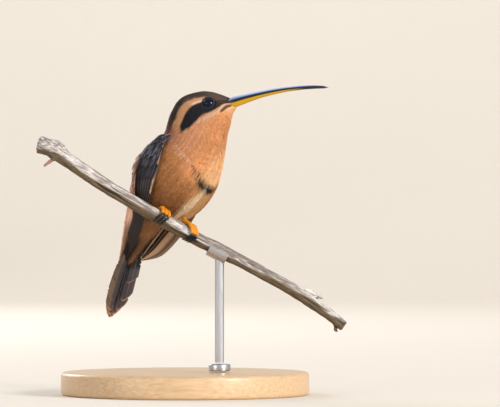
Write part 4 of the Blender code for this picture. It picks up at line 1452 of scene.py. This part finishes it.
def scaled_foot(points):
    """Scutes across the toes: low steps round the branch, with painted shade in the creases."""
    axis = branch_line(vertex_rows(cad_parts["perch_branch"].data, "co") / MM)
    angle, distance = branch_places(points, axis)
    phase = np.where(distance < TOE_REACH, angle / SCUTE_DEGREES, distance / SCUTE_LENGTH)
    step = 0.5 + 0.5 * np.cos(2 * math.pi * phase)
    crease = soft_step(step, 0.25, 0.0)
    # Painted shade in the creases between scutes, and some deeper orange at random.
    colour = blended(FOOT_ORANGE, FOOT_DEEP_AND_CREASE_SHADE, 0.7 * crease + 0.25 * soft_step(noise(points, 0.5, 21), 0, 1))
    return 0.035 * (1 - crease) - 0.02, colour


def plain(colour):
    """A reshape that only roughens a piece a little and gives it one colour."""

    def reshape(points):
        return 0.008 * noise(points, 0.15, 22), np.broadcast_to(colour, points.shape)

    return reshape


# ---------------------------------------------------------------- stand

LATHE_STEPS = 160


def rounded(radius, height, rounding, steps=6):
    """Profile of a disc with rounded rims: (radius, height) from bottom to top."""
    turns = np.linspace(0, math.pi / 2, steps)
    lower = [(radius - rounding + rounding * math.sin(a), rounding - rounding * math.cos(a)) for a in turns]
    upper = [(r, height - z) for r, z in reversed(lower)]
    return [(0.05, 0.0)] + lower + upper + [(0.05, height)]


def turned_disc(name, node, material, rounding):
    """A smooth disc with rounded rims in place of an upright solid."""
    low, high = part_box(node)
    middle = (low + high) / 2 / MM
    size = (high - low) / MM
    foot = low.z / MM
    turn = even_turns(LATHE_STEPS)
    profile = np.array(rounded(size.x / 2, size.z, rounding))
    radius, height = profile[:, :1], profile[:, 1:]
    points = np.stack((
        middle.x + radius * np.cos(turn), middle.y + radius * np.sin(turn), foot + height + 0 * turn,
    ), -1).reshape(-1, 3)
    middles = [(middle.x, middle.y, foot + end) for end in profile[[0, -1], 1]]
    faces = [grid_faces(len(profile), LATHE_STEPS, closed=True), *end_fans(len(profile), LATHE_STEPS)]
    tidy_normals(new_piece(name, np.vstack((points, middles)), faces, material, replaces=(node,)))


def make_stand():
    """The turned base and collar; the rod keeps its solid's shape."""
    wood, steel = wood_finish(), steel_finish()
    turned_disc("turned_base", "stand_base", wood, rounding=0.8)
    turned_disc("collar", "stand_ferrule", steel, rounding=0.35)
    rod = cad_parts["stand_rod"]
    rod.data.materials.clear()
    rod.data.materials.append(steel)


# ---------------------------------------------------------------- stage

# How far the camera stands off, and the width of what it sees at the bird, in metres.
CAMERA_DISTANCE = 0.95
VIEW_WIDTH = 0.1087
VIEW_CENTRE = Vector((0.0141, 0.0, 0.0416))
SENSOR = 36
# Where the light on the backdrop points.
BACKDROP_BEND = (0.0, 1.5, 0.35)


def make_stage():
    """A paper backdrop that lies under the stand and bends up behind it."""
    bend, near, far, high, half = 0.5, -2.5, 0.9, 2.2, 3.0
    profile = [(near, 0.0), (far, 0.0)]
    for turn in np.linspace(0, math.pi / 2, 17)[1:]:
        profile.append((far + bend * math.sin(turn), bend - bend * math.cos(turn)))
    profile.append((far + bend, high))
    mesh = bpy.data.meshes.new("backdrop")
    points = [(side * half, y, z) for y, z in profile for side in (-1, 1)]
    quads = [(2 * i, 2 * i + 1, 2 * i + 3, 2 * i + 2) for i in range(len(profile) - 1)]
    mesh.from_pydata(points, [], quads)
    mesh.polygons.foreach_set("use_smooth", np.ones(len(quads), bool))
    mesh.materials.append(paper_finish())
    backdrop = bpy.data.objects.new("backdrop", mesh)
    bpy.context.scene.collection.objects.link(backdrop)


def add_light(name, place, size, energy, colour, target=VIEW_CENTRE):
    light = bpy.data.lights.new(name, "AREA")
    light.shape = "DISK"
    light.size = size
    light.energy = energy
    light.color = colour
    obj = bpy.data.objects.new(name, light)
    obj.location = place
    obj.rotation_euler = (Vector(target) - Vector(place)).to_track_quat("-Z", "Y").to_euler()
    bpy.context.scene.collection.objects.link(obj)


def make_lights():
    """A bright even world, a key light from the right, a fill, a rim light and one for the backdrop."""
    world = bpy.data.worlds.new("studio")
    world.use_nodes = True
    background = world.node_tree.nodes["Background"]
    background.inputs["Color"].default_value = (0.97, 0.98, 1.0, 1.0)
    background.inputs["Strength"].default_value = 0.7
    bpy.context.scene.world = world
    add_light("key", (0.8, -0.75, 0.34), size=0.3, energy=14.0, colour=(1.0, 0.97, 0.92))
    add_light("fill", (-0.7, -0.7, 0.1), size=0.5, energy=2.2, colour=(0.97, 0.98, 1.0))
    add_light("rim", (-0.45, 0.6, 0.34), size=0.4, energy=3.2, colour=(0.97, 0.98, 1.0))
    add_light("wash", (0.0, 0.75, 1.0), size=0.8, energy=3.3, colour=(1.0, 0.99, 0.97), target=BACKDROP_BEND)


def make_camera():
    camera = bpy.data.cameras.new("camera")
    camera.sensor_width = SENSOR
    camera.lens = SENSOR * CAMERA_DISTANCE / VIEW_WIDTH
    camera.clip_start = 0.05
    camera.clip_end = 20
    obj = bpy.data.objects.new("camera", camera)
    obj.location = VIEW_CENTRE - Vector((0, CAMERA_DISTANCE, 0))
    obj.rotation_euler = (math.pi / 2, 0, 0)
    bpy.context.scene.collection.objects.link(obj)
    bpy.context.scene.camera = obj
    bpy.context.scene.view_settings.view_transform = "Standard"


# ---------------------------------------------------------------- all of it


def make_plumage():
    plumage = plumage_finish()
    make_skin(plumage)
    for k, piece in enumerate(COAT_PIECES):
        make_coat(*piece, plumage, COAT_SEED + k)
    vanes = vane_finish()
    for k, name in enumerate(WINGS):
        make_wing(name, vanes, WING_SEED + k)
    make_tail(vanes)


def make_bill_and_eyes():
    horn = horn_finish()
    make_mandible("horn_upper", horn, upper_paint, upper_shape, column=1, upward=1, end=1.0)
    make_mandible("horn_lower", horn, lower_paint, lower_shape, column=2, upward=-1, end=0.985)
    eye, lids = eye_finish(), lid_finish()
    for name in ("right", "left"):
        make_eye(name, eye, lids)


def make_perch_and_feet():
    refined("perch_branch", "dry_branch", bark_finish(), weathered, voxel=0.115, smoothing=2)
    toes, claws = toe_finish(), claw_finish()
    for side in ("right", "left"):
        refined(f"foot_{side}", f"toes_{side}", toes, scaled_foot, voxel=0.06, smoothing=3)
        for k in range(1, 5):
            name = f"{side}_{k}"
            reshape = plain(CLAW_BLACK)
            refined(f"claw_{name}", f"talon_{name}", claws, reshape, voxel=0.05, smoothing=2)


def main():
    make_plumage()
    make_bill_and_eyes()
    make_perch_and_feet()
    make_stand()
    make_stage()
    make_lights()
    make_camera()


main()
